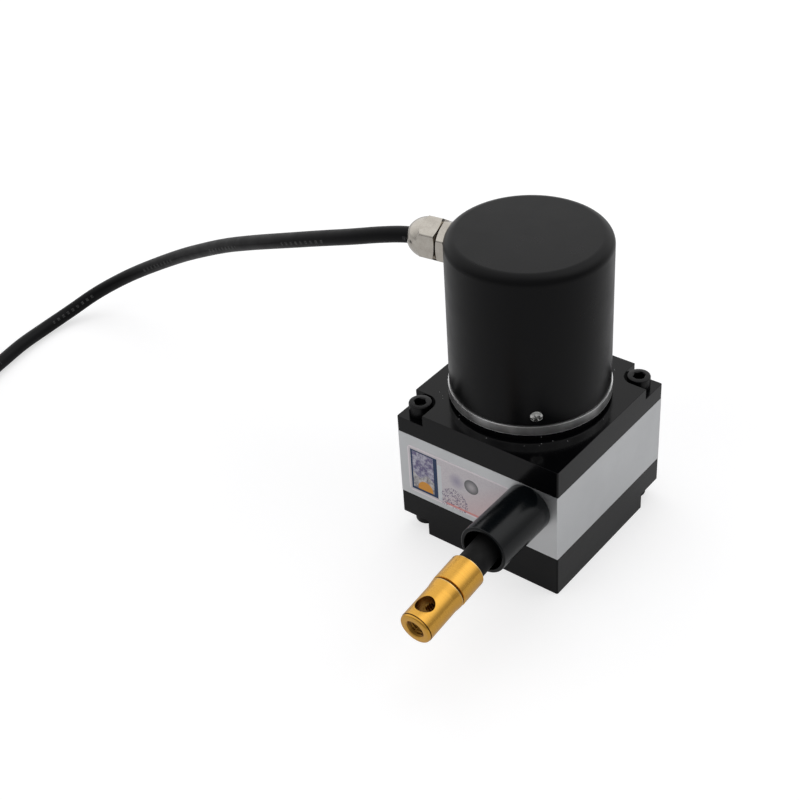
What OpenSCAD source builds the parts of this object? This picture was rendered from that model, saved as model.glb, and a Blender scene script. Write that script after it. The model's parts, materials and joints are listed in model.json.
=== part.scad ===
// Draw wire encoder: a wire drum with a return spring in a square body, and a
// rotary encoder under a round cap. The origin is the centre of the underside,
// on the drum axis. The wire leaves towards -Y. Millimetres.

/* [Body] */
// Side of the square body
body_side = 69; // [67:0.5:72]
// Height of the bottom plate
base_h = 16.5; // [16:0.5:18]
// Height of the bright middle block
block_h = 28; // [28:0.5:31]
// Height of the top plate
top_h = 11; // [10.5:0.5:12]
// Rounding of the upright edges
edge_r = 0.6; // [0.5:0.1:2]
// Distance from the centre to the corner screws, along X and along Y
screw_at = 28.25; // [28:0.05:28.6]
// Depth of the corner pockets in the top plate
top_pocket = 4.5; // [3.5:0.5:5]
// Depth of the corner pockets in the bottom plate
base_pocket = 6.5; // [6:0.5:9]

/* [Encoder cap] */
// Diameter of the cap
cap_d = 58; // [57.5:0.5:58.5]
// Height of the bright flange under the cap
flange_h = 3.7; // [3:0.1:4.5]
// Height of the cap itself
cap_h = 59.4; // [59:0.1:62]
// Rounding of the cap's top edge
cap_round = 3.9; // [2:0.1:5]
// Direction of the cable gland, in degrees from +X
gland_dir = 189; // [185:1:193]

/* [Wire] */
// Radius at which the wire lies on the drum, which is also its distance from the centre
wire_pitch_r = 22.28; // [22:0.01:22.5]
// Height at which the wire leaves
wire_z = 35.2; // [35:0.1:35.4]
// Diameter of the wire
wire_d = 0.9; // [0.6:0.1:1]
// Longest pull of the wire
wire_travel = 1000; // [500:50:1000]
// Length of the outlet tube outside the body
tube_l = 27.2; // [26:0.2:29]
// Diameter of the outlet tube
tube_d = 18.2; // [17.8:0.2:18.4]
// How far the end fitting hangs down from the wire's line, in degrees
droop = 7; // [5.5:0.1:7]

/* [Cable] */
// Diameter of the cable
cable_d = 6; // [5.8:0.1:6]
// Distance across the coil at the middle of its turns
coil_d = 66; // [64:1:68]

/* [Hidden] */
$fn = 96;
half = body_side / 2;
block_top = base_h + block_h;
stack_h = block_top + top_h;

// Corners with a screw. The fourth corner holds the wire outlet instead.
screw_corners = [[-1, -1], [-1, 1], [1, 1]];
head_r = 4.25;
head_h = 5;
pocket_r = 5.45;
screw_r = 2.5;
screw_hole_r = 2.75;
screw_l = 16;

// Encoder housing
boss_h = 1.8;
boss_r = cap_d / 2 - 0.6;
flange_z = stack_h + boss_h;
cap_z = flange_z + flange_h;
cap_r = cap_d / 2;
cap_top = cap_z + cap_h;
wall = 2.5;
cap_in = cap_r - wall;
spigot_h = 7;
spigot_in = 22;
cap_screw_dirs = [gland_dir, gland_dir + 120, gland_dir + 240];
cap_screw_z = cap_z + 4;
oring_z = cap_z + 1.3;
oring_r = 0.75;

// Drum, shaft and bearings
shaft_r = 4;
cover_z = base_h;
bearing_r = 11;
bearing_h = 7;
low_bearing_z = base_h - 0.5;
top_bearing_z = block_top;
bearing_zs = [low_bearing_z, top_bearing_z];
ball_r = 1.95;
ball_pitch_r = 7.5;
balls = 8;
chamber_r = 26.5;
cover_r = 32;
cover_h = 3;
cavity_r = 27.5;
cavity_floor = 3.5;
drum_r = wire_pitch_r - wire_d / 2 - 0.15;
drum_lip_r = 24.6;
winding_low = wire_z - 8.2;
winding_high = wire_z + 1.8;
lip_h = 1.5;
wire_step = 1;
wound_turns = wire_travel / (2 * PI * wire_pitch_r);
spring_low = 4.4;
spring_h = 9;
arbor_r = 7.8;

// Wire outlet and end fitting, measured outwards from the -Y face
tube_bore_r = 7.6;
web_at = 10.4;
pivot_at = 17.8;
fitting_at = 16.1;
fitting_l = 31.6;
cross_at = fitting_at + 24.7;
cross_r = 3.25;
thread_r = 2.5;
thread_end = fitting_at + 16;

// Gland, measured outwards from the cap's axis
gland_z = cap_top - 10.9;
hex_af = 14;
body_at = 29;
nut_at = 33.6;
gland_end = 46.2;
gland_bore = 3.6;

// Encoder inside
disc_z = cap_z + 9;
disc_r = 18;
board_z = cap_z + 19;
board_h = 1.6;
post_r = 23.9;
post_dirs = [for (i = [0:2]) gland_dir + 180 + 120 * i];
head_dir = gland_dir - 120;

// The cable's way from inside the cap to its coil on the floor
cable_route = [
    [-22, -3.5, 109.5], [-34, -5.4, 109.5], [-45.6, -7.2, 109.5], [-51, -8.5, 109],
    [-60, -9.6, 106], [-73, -10.6, 101], [-89, -10, 94.5], [-103, -8, 89],
    [-117, -5.5, 83], [-134, -2, 75], [-150, 1, 66.5], [-165, 4, 58],
    [-180, 7, 49.5], [-195, 9, 41], [-209, 10, 32], [-221, 9.5, 24],
    [-232, 7, 16.5], [-242, 2, 10], [-249.5, -5.5, 5.5], [-253.5, -16, 3.8],
    [-254.5, -29, 3.5], [-251.5, -42, 3.6], [-247, -55, 3.8], [-243, -68, 4],
    [-240.5, -82, 4], [-240, -96, 4], [-240, -110, 4]
];
coil_r = coil_d / 2;
coil_low = 1;
coil_high = coil_low + 3 * cable_d;
coil_at = [-240 - coil_r - cable_d / 2, -110];
cable_fit = 0.05;

// ---------- shared shapes ----------

// A disc or ring standing on height z.
module ring(z, h, r_out, r_in = 0) {
    translate([0, 0, z])
        difference() {
            cylinder(h = h, r = r_out);
            if (r_in > 0)
                translate([0, 0, -1])
                    cylinder(h = h + 2, r = r_in);
        }
}

// A square plate with rounded upright edges.
module square_plate(z, h, side, r) {
    translate([0, 0, z])
        linear_extrude(h) {
            square([side, side - 2 * r], center = true);
            square([side - 2 * r, side], center = true);
            for (x = [-1, 1], y = [-1, 1])
                translate([x, y] * (side / 2 - r))
                    circle(r);
        }
}

// The open corner pocket round one screw head, cut from height z upwards.
module corner_pocket(corner, z, h) {
    reach = 10;
    translate([corner[0] * screw_at, corner[1] * screw_at, z])
        rotate([0, 0, atan2(corner[1], corner[0]) - 45])
            linear_extrude(h) {
                circle(pocket_r);
                translate([0, -pocket_r])
                    square([reach, reach + pocket_r]);
                translate([-pocket_r, 0])
                    square([reach + pocket_r, reach]);
            }
}

module at_corners() {
    for (c = screw_corners)
        translate([c[0] * screw_at, c[1] * screw_at, 0])
            children();
}

// A socket head screw, head upwards, with the underside of its head at 0.
module socket_screw(r, l, head_r, head_h, key) {
    difference() {
        union() {
            translate([0, 0, -l])
                cylinder(h = l, r = r);
            cylinder(h = head_h - 0.4, r = head_r);
            translate([0, 0, head_h - 0.4])
                cylinder(h = 0.4, r1 = head_r, r2 = head_r - 0.4);
        }
        translate([0, 0, head_h / 2])
            cylinder(h = head_h, r = key / sqrt(3), $fn = 6);
    }
}

// A tube along a list of points, each cross-section square to the way it runs.
module tube_along(points, r, sides, reference = [0, 0, 1]) {
    last = len(points) - 1;
    function heading(i) =
        let (d = points[min(i + 1, last)] - points[max(i - 1, 0)]) d / norm(d);
    function unit(v) = v / norm(v);
    rim = [
        for (i = [0:last])
            let (t = heading(i), a = unit(cross(t, reference)), b = cross(a, t))
            for (k = [0:sides - 1])
                points[i] + r * (cos(360 * k / sides) * a + sin(360 * k / sides) * b)
    ];
    skin = [
        for (i = [0:last - 1], k = [0:sides - 1])
            let (n = (k + 1) % sides)
            [i * sides + k, (i + 1) * sides + k, (i + 1) * sides + n, i * sides + n]
    ];
    near_end = [for (k = [0:sides - 1]) k];
    far_end = [for (k = [sides - 1:-1:0]) last * sides + k];
    polyhedron(points = rim, faces = concat(skin, [near_end, far_end]));
}

// Children drawn upright stand out of the -Y face along the wire.
module at_outlet() {
    translate([wire_pitch_r, -half, wire_z])
        rotate([90, 0, 0])
            children();
}

// Children drawn upright lie along the hanging end fitting, from its pivot.
module at_fitting() {
    translate([wire_pitch_r, -half - pivot_at, wire_z])
        rotate([90 + droop, 0, 0])
            children();
}

// Children drawn upright point out of the cap's side, from its axis.
module outwards(direction, z) {
    translate([0, 0, z])
        rotate([0, 0, direction])
            rotate([0, 90, 0])
                children();
}

// ---------- body ----------

cover_screw_r = 1.25;
cover_screw_at = 29.6;
mount_at = 21;
mount_hole_r = 1.65;
mount_hole_l = 9;

module base_plate() {
    color([0.07, 0.07, 0.08])
        difference() {
            square_plate(0, base_h, body_side, edge_r);
            ring(cavity_floor, base_h, cavity_r);
            for (c = screw_corners)
                corner_pocket(c, -1, base_pocket + 1);
            at_corners()
                cylinder(h = base_h + 1, r = screw_hole_r);
            for (x = [-1, 1], y = [-1, 1])
                translate([x * mount_at, y * mount_at, -1])
                    cylinder(h = mount_hole_l + 1, r = mount_hole_r);
            for (a = [0:90:270])
                rotate([0, 0, a])
                    translate([cover_screw_at, 0, base_h - 7])
                        cylinder(h = 8, r = cover_screw_r);
            translate([spring_pin_at, 0, cavity_floor - 1.5])
                cylinder(h = 2, r = spring_pin_r);
        }
}

module body_block() {
    color([0.68, 0.69, 0.7])
        difference() {
            square_plate(base_h, block_h, body_side, edge_r * 0.6);
            ring(base_h - 1, block_h + 2, chamber_r);
            ring(base_h - 1, cover_h + 1, cover_r);
            at_corners() {
                translate([0, 0, base_h - 1])
                    cylinder(h = 11, r = screw_r);
                translate([0, 0, block_top - 14])
                    cylinder(h = 15, r = screw_r);
            }
            at_outlet() {
                translate([0, 0, -spigot_l])
                    cylinder(h = spigot_l + 1, r = spigot_r);
                translate([0, 0, -half])
                    cylinder(h = half, r = wiper_r);
            }
        }
}

module top_plate() {
    color([0.06, 0.06, 0.07])
        difference() {
            union() {
                square_plate(block_top, top_h, body_side, edge_r);
                ring(stack_h, boss_h, boss_r);
            }
            ring(block_top - 1, bearing_h + 1, bearing_r);
            ring(block_top, top_h + boss_h + 1, 6);
            ring(flange_z - seal_h, seal_h + 1, seal_r);
            for (c = screw_corners)
                corner_pocket(c, stack_h - top_pocket, top_pocket + 1);
            at_corners()
                translate([0, 0, block_top - 1])
                    cylinder(h = top_h + 2, r = screw_hole_r);
            for (a = post_dirs)
                rotate([0, 0, a])
                    translate([flange_screw_at, 0, flange_z - 9])
                        cylinder(h = 10, r = flange_screw_r);
        }
}

module base_screws() {
    color([0.09, 0.09, 0.1])
        at_corners()
            translate([0, 0, base_pocket])
                mirror([0, 0, 1])
                    socket_screw(screw_r, screw_l, head_r, head_h, 4);
}

module top_screws() {
    color([0.09, 0.09, 0.1])
        at_corners()
            translate([0, 0, stack_h - top_pocket])
                socket_screw(screw_r, screw_l, head_r, head_h, 4);
}

label_size = [46, 21];
label_at = [-30.5, 18.8];
label_t = 0.15;

module label() {
    r = 1.5;
    gap = 0.3;
    color([0.75, 0.76, 0.8])
        difference() {
            translate([label_at[0], -half, label_at[1]])
                rotate([90, 0, 0])
                    linear_extrude(label_t) {
                        translate([0, r])
                            square(label_size - [0, 2 * r]);
                        translate([r, 0])
                            square(label_size - [2 * r, 0]);
                        for (x = [r, label_size[0] - r], y = [r, label_size[1] - r])
                            translate([x, y])
                                circle(r);
                    }
            at_outlet()
                cylinder(h = 2, r = tube_d / 2 + gap, center = true);
        }
}

// ---------- return spring ----------

module spring_cover() {
    hub_r = 13.5;
    color([0.62, 0.63, 0.65])
        difference() {
            union() {
                ring(cover_z, cover_h, cover_r);
                ring(cover_z - 2, cover_h + 5.5, hub_r);
            }
            ring(low_bearing_z, bearing_h + 1, bearing_r);
            ring(cover_z - 3, 10, 9);
            for (a = [0:90:270])
                rotate([0, 0, a])
                    translate([cover_screw_at, 0, cover_z])
                        cover_screw_shape(1);
        }
}

// A countersunk screw with its head flush with the spring cover.
module cover_screw_shape(over) {
    sink = 1.4;
    translate([0, 0, -5.5])
        cylinder(h = cover_h + 5.5, r = cover_screw_r);
    translate([0, 0, cover_h - sink])
        cylinder(h = sink, r1 = cover_screw_r, r2 = 2.3);
    if (over > 0)
        translate([0, 0, cover_h])
            cylinder(h = over, r = 2.3);
}

module cover_screws() {
    color([0.5, 0.5, 0.52])
        for (a = [0:90:270])
            rotate([0, 0, a])
                translate([cover_screw_at, 0, cover_z])
                    difference() {
                        cover_screw_shape(0);
                        translate([0, 0, cover_h - 0.8])
                            cylinder(h = 1, r = 0.9, $fn = 6);
                    }
}

spring_turns = 12;
spring_inner_r = 8.3;
spring_outer_r = 23.9;
spring_strip = 0.5;
spring_pin_r = 1.2;
spring_pin_at = spring_outer_r + spring_strip + spring_pin_r;

// The flat strip spring: a spiral ribbon, hooked round the pin at its outer end.
module power_spring() {
    per_turn = 20;
    steps = spring_turns * per_turn;
    function side(i, off) =
        let (r = spring_inner_r + (spring_outer_r - spring_inner_r) * i / steps + off)
        r * [cos(360 * i / per_turn), sin(360 * i / per_turn)];
    color([0.35, 0.4, 0.48])
        translate([0, 0, spring_low])
            linear_extrude(spring_h) {
                polygon(concat(
                    [for (i = [0:steps]) side(i, 0)],
                    [for (i = [steps:-1:0]) side(i, spring_strip)]
                ));
                translate([spring_pin_at, 0])
                    difference() {
                        circle(spring_pin_r + spring_strip, $fn = 48);
                        circle(spring_pin_r + 0.02, $fn = 48);
                        translate([0, -5])
                            square([10, 5]);
                    }
            }
}

module spring_pin() {
    color([0.75, 0.75, 0.77])
        translate([spring_pin_at, 0, cavity_floor - 1.5])
            cylinder(h = 11, r = spring_pin_r);
}

module spring_arbor() {
    slot = 1.2;
    color([0.6, 0.6, 0.62])
        difference() {
            ring(spring_low, 9.6, arbor_r, shaft_r);
            translate([shaft_r + 1.2, -slot / 2, spring_low - 1])
                cube([arbor_r, slot, spring_h + 1.2]);
        }
}

// ---------- bearings ----------

module race(z, r_out, r_in) {
    difference() {
        ring(z, bearing_h, r_out, r_in);
        translate([0, 0, z + bearing_h / 2])
            rotate_extrude()
                translate([ball_pitch_r, 0])
                    circle(ball_r + 0.08, $fn = 48);
    }
}

module bearing_outer_rings() {
    color([0.72, 0.73, 0.75])
        for (z = bearing_zs)
            race(z, bearing_r, 9);
}

module bearing_inner_rings() {
    color([0.72, 0.73, 0.75])
        for (z = bearing_zs)
            race(z, 6.05, shaft_r);
}

module each_ball() {
    for (z = bearing_zs, i = [0:balls - 1])
        rotate([0, 0, 360 * i / balls])
            translate([ball_pitch_r, 0, z + bearing_h / 2])
                children();
}

module bearing_balls() {
    color([0.85, 0.85, 0.87])
        each_ball()
            sphere(ball_r, $fn = 32);
}

module bearing_cages() {
    cage_h = 5.6;
    color([0.75, 0.6, 0.3])
        difference() {
            for (z = bearing_zs)
                ring(z + (bearing_h - cage_h) / 2, cage_h, 8.2, 6.9);
            each_ball()
                sphere(ball_r + 0.08, $fn = 32);
        }
}

// ---------- drum and shaft ----------

drum_pin_z = 41.5;
anchor_at = 19;

module shaft() {
    color([0.78, 0.78, 0.8])
        difference() {
            ring(spring_low, disc_z + 4 - spring_low, shaft_r);
            ring(top_bearing_z + bearing_h + 0.1, 1.2, shaft_r + 1, shaft_r - 0.25);
            translate([0, 0, drum_pin_z])
                rotate([90, 0, 0])
                    cylinder(h = 20, r = 1, center = true);
        }
}

// The rope drum: a winding face between two lips, with a hub, a web and six lightening holes.
module drum() {
    web_z = winding_high - 3;
    color([0.7, 0.71, 0.72])
        difference() {
            union() {
                ring(winding_low - lip_h, lip_h, drum_lip_r);
                ring(winding_low, winding_high - winding_low, drum_r);
                ring(winding_high, lip_h, drum_lip_r);
                ring(low_bearing_z + bearing_h, 21.5, 6);
            }
            difference() {
                ring(winding_low - lip_h - 1, web_z - winding_low + lip_h + 1, 18);
                ring(winding_low - lip_h - 1, 30, 6);
            }
            ring(0, 60, shaft_r);
            for (a = [30:60:330])
                rotate([0, 0, a])
                    translate([12.5, 0, 0])
                        cylinder(h = 50, r = 3);
            translate([anchor_at, 0, winding_high - 3])
                cylinder(h = 10, r = 1.5);
            translate([0, 0, drum_pin_z])
                rotate([90, 0, 0])
                    cylinder(h = 20, r = 1, center = true);
        }
}

module drum_pin() {
    color([0.8, 0.8, 0.82])
        translate([0, 0, drum_pin_z])
            rotate([90, 0, 0])
                cylinder(h = 11.8, r = 1, center = true);
}

module wire_anchor() {
    color([0.3, 0.3, 0.32])
        translate([anchor_at, 0, winding_high - 3])
            difference() {
                cylinder(h = 4.2, r = 1.5);
                translate([0, 0, 2.6])
                    cylinder(h = 2, r = 0.9, $fn = 6);
            }
}

// The wound turns, from the point where the wire leaves down the drum.
module wound_wire() {
    per_turn = 30;
    steps = ceil(wound_turns * per_turn);
    color([0.6, 0.6, 0.62])
        tube_along(
            [for (i = [0:steps])
                let (a = 360 * i / per_turn, drop = wire_step * i / per_turn)
                [wire_pitch_r * cos(a), wire_pitch_r * sin(a), wire_z - drop]],
            wire_d / 2, 6);
}

module retaining_ring() {
    color([0.2, 0.2, 0.22])
        difference() {
            ring(top_bearing_z + bearing_h + 0.15, 1, 5.4, shaft_r - 0.2);
            translate([0, -1, 0])
                cube([10, 2, 80]);
        }
}

seal_r = 9;
seal_h = 4;

module shaft_seal() {
    color([0.1, 0.1, 0.1])
        ring(flange_z - seal_h, seal_h, seal_r, shaft_r + 0.06);
}

// ---------- wire outlet ----------

spigot_l = 10;
spigot_r = 7;
wiper_r = 3.2;

module outlet_tube() {
    lip = 0.6;
    color([0.05, 0.05, 0.06])
        at_outlet()
            difference() {
                union() {
                    translate([0, 0, -spigot_l])
                        cylinder(h = spigot_l, r = spigot_r);
                    cylinder(h = tube_l - lip, r = tube_d / 2);
                    translate([0, 0, tube_l - lip])
                        cylinder(h = lip, r1 = tube_d / 2, r2 = tube_d / 2 - lip);
                }
                translate([0, 0, web_at])
                    cylinder(h = tube_l, r = tube_bore_r);
                translate([0, 0, tube_l - lip])
                    cylinder(h = lip + 0.01, r1 = tube_bore_r, r2 = tube_bore_r + lip);
                translate([0, 0, -spigot_l - 1])
                    cylinder(h = tube_l, r = wiper_r);
            }
}

module outlet_bush() {
    bore = wire_d / 2 + 0.25;
    color([0.85, 0.82, 0.74])
        at_outlet()
            difference() {
                translate([0, 0, -spigot_l])
                    cylinder(h = spigot_l + web_at, r = wiper_r);
                translate([0, 0, -spigot_l - 1])
                    cylinder(h = 40, r = bore);
                translate([0, 0, web_at - 2])
                    cylinder(h = 2.01, r1 = bore, r2 = 2.4);
                translate([0, 0, -spigot_l - 0.01])
                    cylinder(h = 2, r1 = 2.4, r2 = bore);
            }
}

module wire_wiper() {
    color([0.45, 0.42, 0.38])
        at_outlet()
            difference() {
                translate([0, 0, -spigot_l - 4])
                    cylinder(h = 4, r = wiper_r);
                translate([0, 0, -spigot_l - 5])
                    cylinder(h = 6, r = wire_d / 2 + 0.1);
            }
}

// The straight wire, from where it leaves the drum to the end fitting's pivot.
module wire() {
    color([0.6, 0.6, 0.62])
        at_outlet()
            translate([0, 0, -half + 0.3])
                cylinder(h = half + pivot_at - 0.5, r = wire_d / 2, $fn = 24);
}

// The last length of the wire, which bends down with the end fitting.
module wire_tail() {
    color([0.6, 0.6, 0.62])
        at_fitting()
            translate([0, 0, 0.2])
                cylinder(h = fitting_at + 5.8, r = wire_d / 2, $fn = 24);
}

module rubber_buffer() {
    inner_end = -6.5;
    color([0.06, 0.06, 0.06])
        at_fitting()
            difference() {
                union() {
                    translate([0, 0, inner_end])
                        cylinder(h = 5, r1 = 4.4, r2 = 5.3);
                    translate([0, 0, inner_end + 5])
                        cylinder(h = fitting_at - inner_end - 5, r = 5.3);
                }
                translate([0, 0, inner_end - 1])
                    cylinder(h = 40, r = 1.75);
            }
}

// The turned end fitting: a barrel, a groove and a slimmer nose with a cross hole.
module end_fitting() {
    color([0.83, 0.6, 0.22])
        at_fitting()
            difference() {
                rotate_extrude()
                    difference() {
                        fitting_half_outline();
                        translate([barrel_r + 0.25, fitting_at + groove_from])
                            circle(0.55, $fn = 24);
                    }
                translate([0, 0, fitting_at - 1])
                    cylinder(h = 9, r = 2.2);
                translate([0, 0, thread_end])
                    cylinder(h = 40, r = thread_r);
                translate([0, 0, fitting_at + fitting_l - 0.8])
                    cylinder(h = 0.81, r1 = thread_r, r2 = thread_r + 0.81);
                translate([0, 0, cross_at])
                    rotate([90, 0, 0])
                        cylinder(h = 30, r = cross_r, center = true);
            }
}

barrel_r = 6.55;
nose_r = 6.1;
groove_from = 12.4;

// Half of the end fitting's section, with its rounded rear and front edges.
module fitting_half_outline() {
    rear_r = 0.8;
    nose_from = 16;
    front_r = 1.4;
    translate([0, fitting_at]) {
        square([barrel_r - rear_r, rear_r + 1]);
        translate([barrel_r - rear_r, rear_r])
            circle(rear_r);
        translate([0, rear_r])
            square([barrel_r, groove_from + 1 - rear_r]);
        polygon([[0, groove_from], [barrel_r, groove_from + 1], [nose_r, nose_from],
                 [nose_r, fitting_l - front_r], [0, fitting_l - front_r]]);
        translate([nose_r - front_r, fitting_l - front_r])
            circle(front_r);
        translate([0, fitting_l - front_r - 1])
            square([nose_r - front_r, front_r + 1]);
    }
}

module crimp_ferrule() {
    color([0.7, 0.5, 0.35])
        at_fitting()
            difference() {
                translate([0, 0, fitting_at + 0.3])
                    cylinder(h = 7.2, r = 2.15);
                translate([0, 0, fitting_at - 1])
                    cylinder(h = 7, r = wire_d / 2);
            }
}

// ---------- encoder ----------

flange_screw_at = 16;
flange_screw_r = 1.5;

module encoder_flange() {
    color([0.55, 0.55, 0.56])
        difference() {
            union() {
                ring(flange_z, flange_h, cap_r + 0.4, 5.5);
                ring(cap_z, spigot_h, cap_in - 0.05, spigot_in);
            }
            translate([0, 0, oring_z])
                rotate_extrude()
                    translate([cap_in - 2 * oring_r, -oring_r])
                        square([3, 2 * oring_r]);
            for (a = cap_screw_dirs)
                outwards(a, cap_screw_z)
                    translate([0, 0, spigot_in - 1])
                        cylinder(h = 10, r = cap_screw_r);
            for (a = post_dirs)
                rotate([0, 0, a])
                    translate([flange_screw_at, 0, flange_z - 1])
                        cylinder(h = 20, r = flange_screw_r + 0.1);
        }
}

module flange_screws() {
    color([0.5, 0.5, 0.52])
        for (a = post_dirs)
            rotate([0, 0, a])
                translate([flange_screw_at, 0, cap_z])
                    socket_screw(flange_screw_r, 12, 2.75, 3, 2.5);
}

cap_screw_r = 1.25;
cap_head_r = 2.25;

module cap() {
    color([0.05, 0.05, 0.055])
        difference() {
            union() {
                cap_shell();
                intersection() {
                    ring(cap_z, cap_h - 1, cap_in + 1);
                    outwards(gland_dir, gland_z)
                        translate([0, 0, 20])
                            cylinder(h = 9, r = 8);
                }
            }
            outwards(gland_dir, gland_z) {
                translate([0, 0, 15])
                    cylinder(h = 20, r = thread_major_r);
                translate([0, 0, 28])
                    cylinder(h = 5, r = 7.6);
            }
            for (a = cap_screw_dirs)
                outwards(a, cap_screw_z) {
                    translate([0, 0, cap_in - 1])
                        cylinder(h = 5, r = cap_screw_r + 0.1);
                    translate([0, 0, cap_r - 0.8])
                        cylinder(h = 2, r = cap_head_r + 0.1);
                }
        }
}

// The cup of the cap, turned in one piece with a rounded top edge.
module cap_shell() {
    translate([0, 0, cap_z])
        rotate_extrude()
            difference() {
                union() {
                    square([cap_r, cap_h - cap_round]);
                    square([cap_r - cap_round, cap_h]);
                    translate([cap_r - cap_round, cap_h - cap_round])
                        circle(cap_round);
                }
                translate([0, -1])
                    square([cap_in, cap_h - wall + 1]);
            }
}

module cap_seal() {
    color([0.08, 0.08, 0.08])
        translate([0, 0, oring_z])
            rotate_extrude()
                translate([cap_in - oring_r, 0])
                    circle(oring_r, $fn = 32);
}

// Low round heads with a cross recess.
module cap_screws() {
    color([0.8, 0.8, 0.82])
        for (a = cap_screw_dirs)
            outwards(a, cap_screw_z)
                difference() {
                    union() {
                        translate([0, 0, spigot_in + 1])
                            cylinder(h = cap_r - 0.8 - spigot_in - 1, r = cap_screw_r);
                        translate([0, 0, cap_r - 0.8])
                            cylinder(h = 0.9, r = cap_head_r);
                        translate([0, 0, cap_r + 0.1])
                            cylinder(h = 0.4, r1 = cap_head_r, r2 = cap_head_r - 0.8);
                    }
                    for (turn = [0, 90])
                        rotate([0, 0, turn])
                            translate([0, 0, cap_r + 0.3])
                                cube([2.4, 0.5, 1.4], center = true);
                }
}

module disc_hub() {
    color([0.72, 0.62, 0.35])
        difference() {
            union() {
                ring(disc_z - 7.5, 7.5, 8, shaft_r);
                ring(disc_z, 3, 5.5, shaft_r);
            }
            outwards(head_dir + 90, disc_z - 4)
                cylinder(h = 10, r = 1);
        }
}

module hub_screw() {
    color([0.25, 0.25, 0.27])
        outwards(head_dir + 90, disc_z - 4)
            translate([0, 0, shaft_r])
                difference() {
                    cylinder(h = 3.8, r = 1);
                    translate([0, 0, 2.8])
                        cylinder(h = 2, r = 0.5, $fn = 6);
                }
}

// The glass code disc, with its ring of slots.
module code_disc() {
    slots = 60;
    color([0.6, 0.7, 0.75, 0.5])
        difference() {
            ring(disc_z, 1, disc_r, 5.5);
            for (i = [0:slots - 1])
                rotate([0, 0, 360 * i / slots])
                    translate([disc_r - 3, -0.3, disc_z - 1])
                        cube([2, 0.6, 3]);
        }
}

// A light source over the disc's edge and a receiver under it, on one bracket.
module reading_head() {
    depth = 9;
    width = 11;
    gap = 1.2;
    color([0.12, 0.12, 0.14])
        rotate([0, 0, head_dir])
            difference() {
                intersection() {
                    translate([12.5, -width / 2, cap_z])
                        cube([depth, width, 16]);
                    ring(cap_z, 16, spigot_in - 0.3);
                }
                translate([0, 0, disc_z - gap])
                    cylinder(h = 1 + 2 * gap, r = disc_r + gap);
            }
}

module circuit_board() {
    color([0.05, 0.3, 0.15])
        difference() {
            ring(board_z, board_h, cap_in - 0.6);
            for (a = post_dirs)
                rotate([0, 0, a])
                    translate([post_r, 0, board_z - 1])
                        cylinder(h = 4, r = 1.3);
        }
}

module board_posts() {
    color([0.78, 0.65, 0.35])
        for (a = post_dirs)
            rotate([0, 0, a])
                translate([post_r, 0, cap_z + spigot_h])
                    difference() {
                        cylinder(h = board_z - cap_z - spigot_h, r = 2.2);
                        translate([0, 0, 5])
                            cylinder(h = 20, r = 1.2);
                    }
}

module board_screws() {
    color([0.75, 0.75, 0.77])
        for (a = post_dirs)
            rotate([0, 0, a])
                translate([post_r, 0, board_z + board_h])
                    difference() {
                        union() {
                            cylinder(h = 1.6, r = 2.1);
                            translate([0, 0, -6])
                                cylinder(h = 6, r = 1.2);
                        }
                        translate([0, 0, 0.8])
                            cylinder(h = 1, r = 0.9, $fn = 6);
                    }
}

// Chips and capacitors on the top of the board.
module board_parts() {
    floor_z = board_z + board_h;
    color([0.1, 0.1, 0.11]) {
        translate([6, -8, floor_z])
            cube([9, 9, 1.6]);
        translate([4, 6, floor_z])
            cube([10, 5, 1.8]);
        translate([-2, -16, floor_z])
            cube([5, 4, 1.5]);
    }
    color([0.2, 0.25, 0.5])
        for (x = [-6, 0])
            translate([x, 17, floor_z])
                cylinder(h = 7, r = 2.5);
}

terminal = [8, 14, 9];
terminal_from = 6;

module terminal_block() {
    color([0.15, 0.45, 0.2])
        rotate([0, 0, gland_dir])
            difference() {
                translate([terminal_from, -terminal[1] / 2, board_z + board_h])
                    cube(terminal);
                for (i = [-2:2])
                    translate([terminal_from + terminal[0] / 2, 2.6 * i, board_z + board_h + 4])
                        cylinder(h = 20, r = 0.9);
            }
}

// The five insulated cores, from the cable's jacket down into the terminals.
module cable_cores() {
    top = gland_z;
    foot = board_z + board_h + 4.2;
    into = terminal_from + terminal[0] / 2;
    colours = ["red", "black", "green", "white", "yellow"];
    rotate([0, 0, gland_dir])
        for (i = [-2:2])
            color(colours[i + 2])
                tube_along(
                    [[21.7, 1.1 * i, top], [18, 1.3 * i, top - 0.6], [14, 1.8 * i, top - 3.5],
                     [11.2, 2.3 * i, top - 9], [into, 2.6 * i, top - 16], [into, 2.6 * i, foot]],
                    0.6, 6, [0, 1, 0]);
}

// ---------- gland ----------

thread_major_r = 5.95;

module gland_body() {
    color([0.72, 0.7, 0.66])
        outwards(gland_dir, gland_z)
            difference() {
                union() {
                    translate([0, 0, 20])
                        cylinder(h = 10, r = thread_major_r);
                    intersection() {
                        translate([0, 0, body_at])
                            rotate([0, 0, 20])
                                cylinder(h = 4.2, r = hex_af / sqrt(3), $fn = 6);
                        translate([0, 0, body_at])
                            cylinder(h = 4.2, r1 = hex_af / 2 + 4, r2 = hex_af / 2 + 0.5);
                    }
                    translate([0, 0, body_at])
                        cylinder(h = 11, r = 5.8);
                }
                translate([0, 0, 19])
                    cylinder(h = 30, r = gland_bore);
                translate([0, 0, 35])
                    cylinder(h = 10, r = 5);
            }
}

module gland_washer() {
    color([0.1, 0.1, 0.1])
        outwards(gland_dir, gland_z)
            ring(28, 1, 7.4, thread_major_r);
}

module gland_seal() {
    color([0.1, 0.1, 0.1])
        outwards(gland_dir, gland_z)
            difference() {
                union() {
                    ring(35.1, 5, 4.95);
                    translate([0, 0, 40.1])
                        cylinder(h = 2.4, r1 = 4.95, r2 = 4.1);
                }
                translate([0, 0, 30])
                    cylinder(h = 20, r = cable_d / 2 + 0.05);
            }
}

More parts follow.
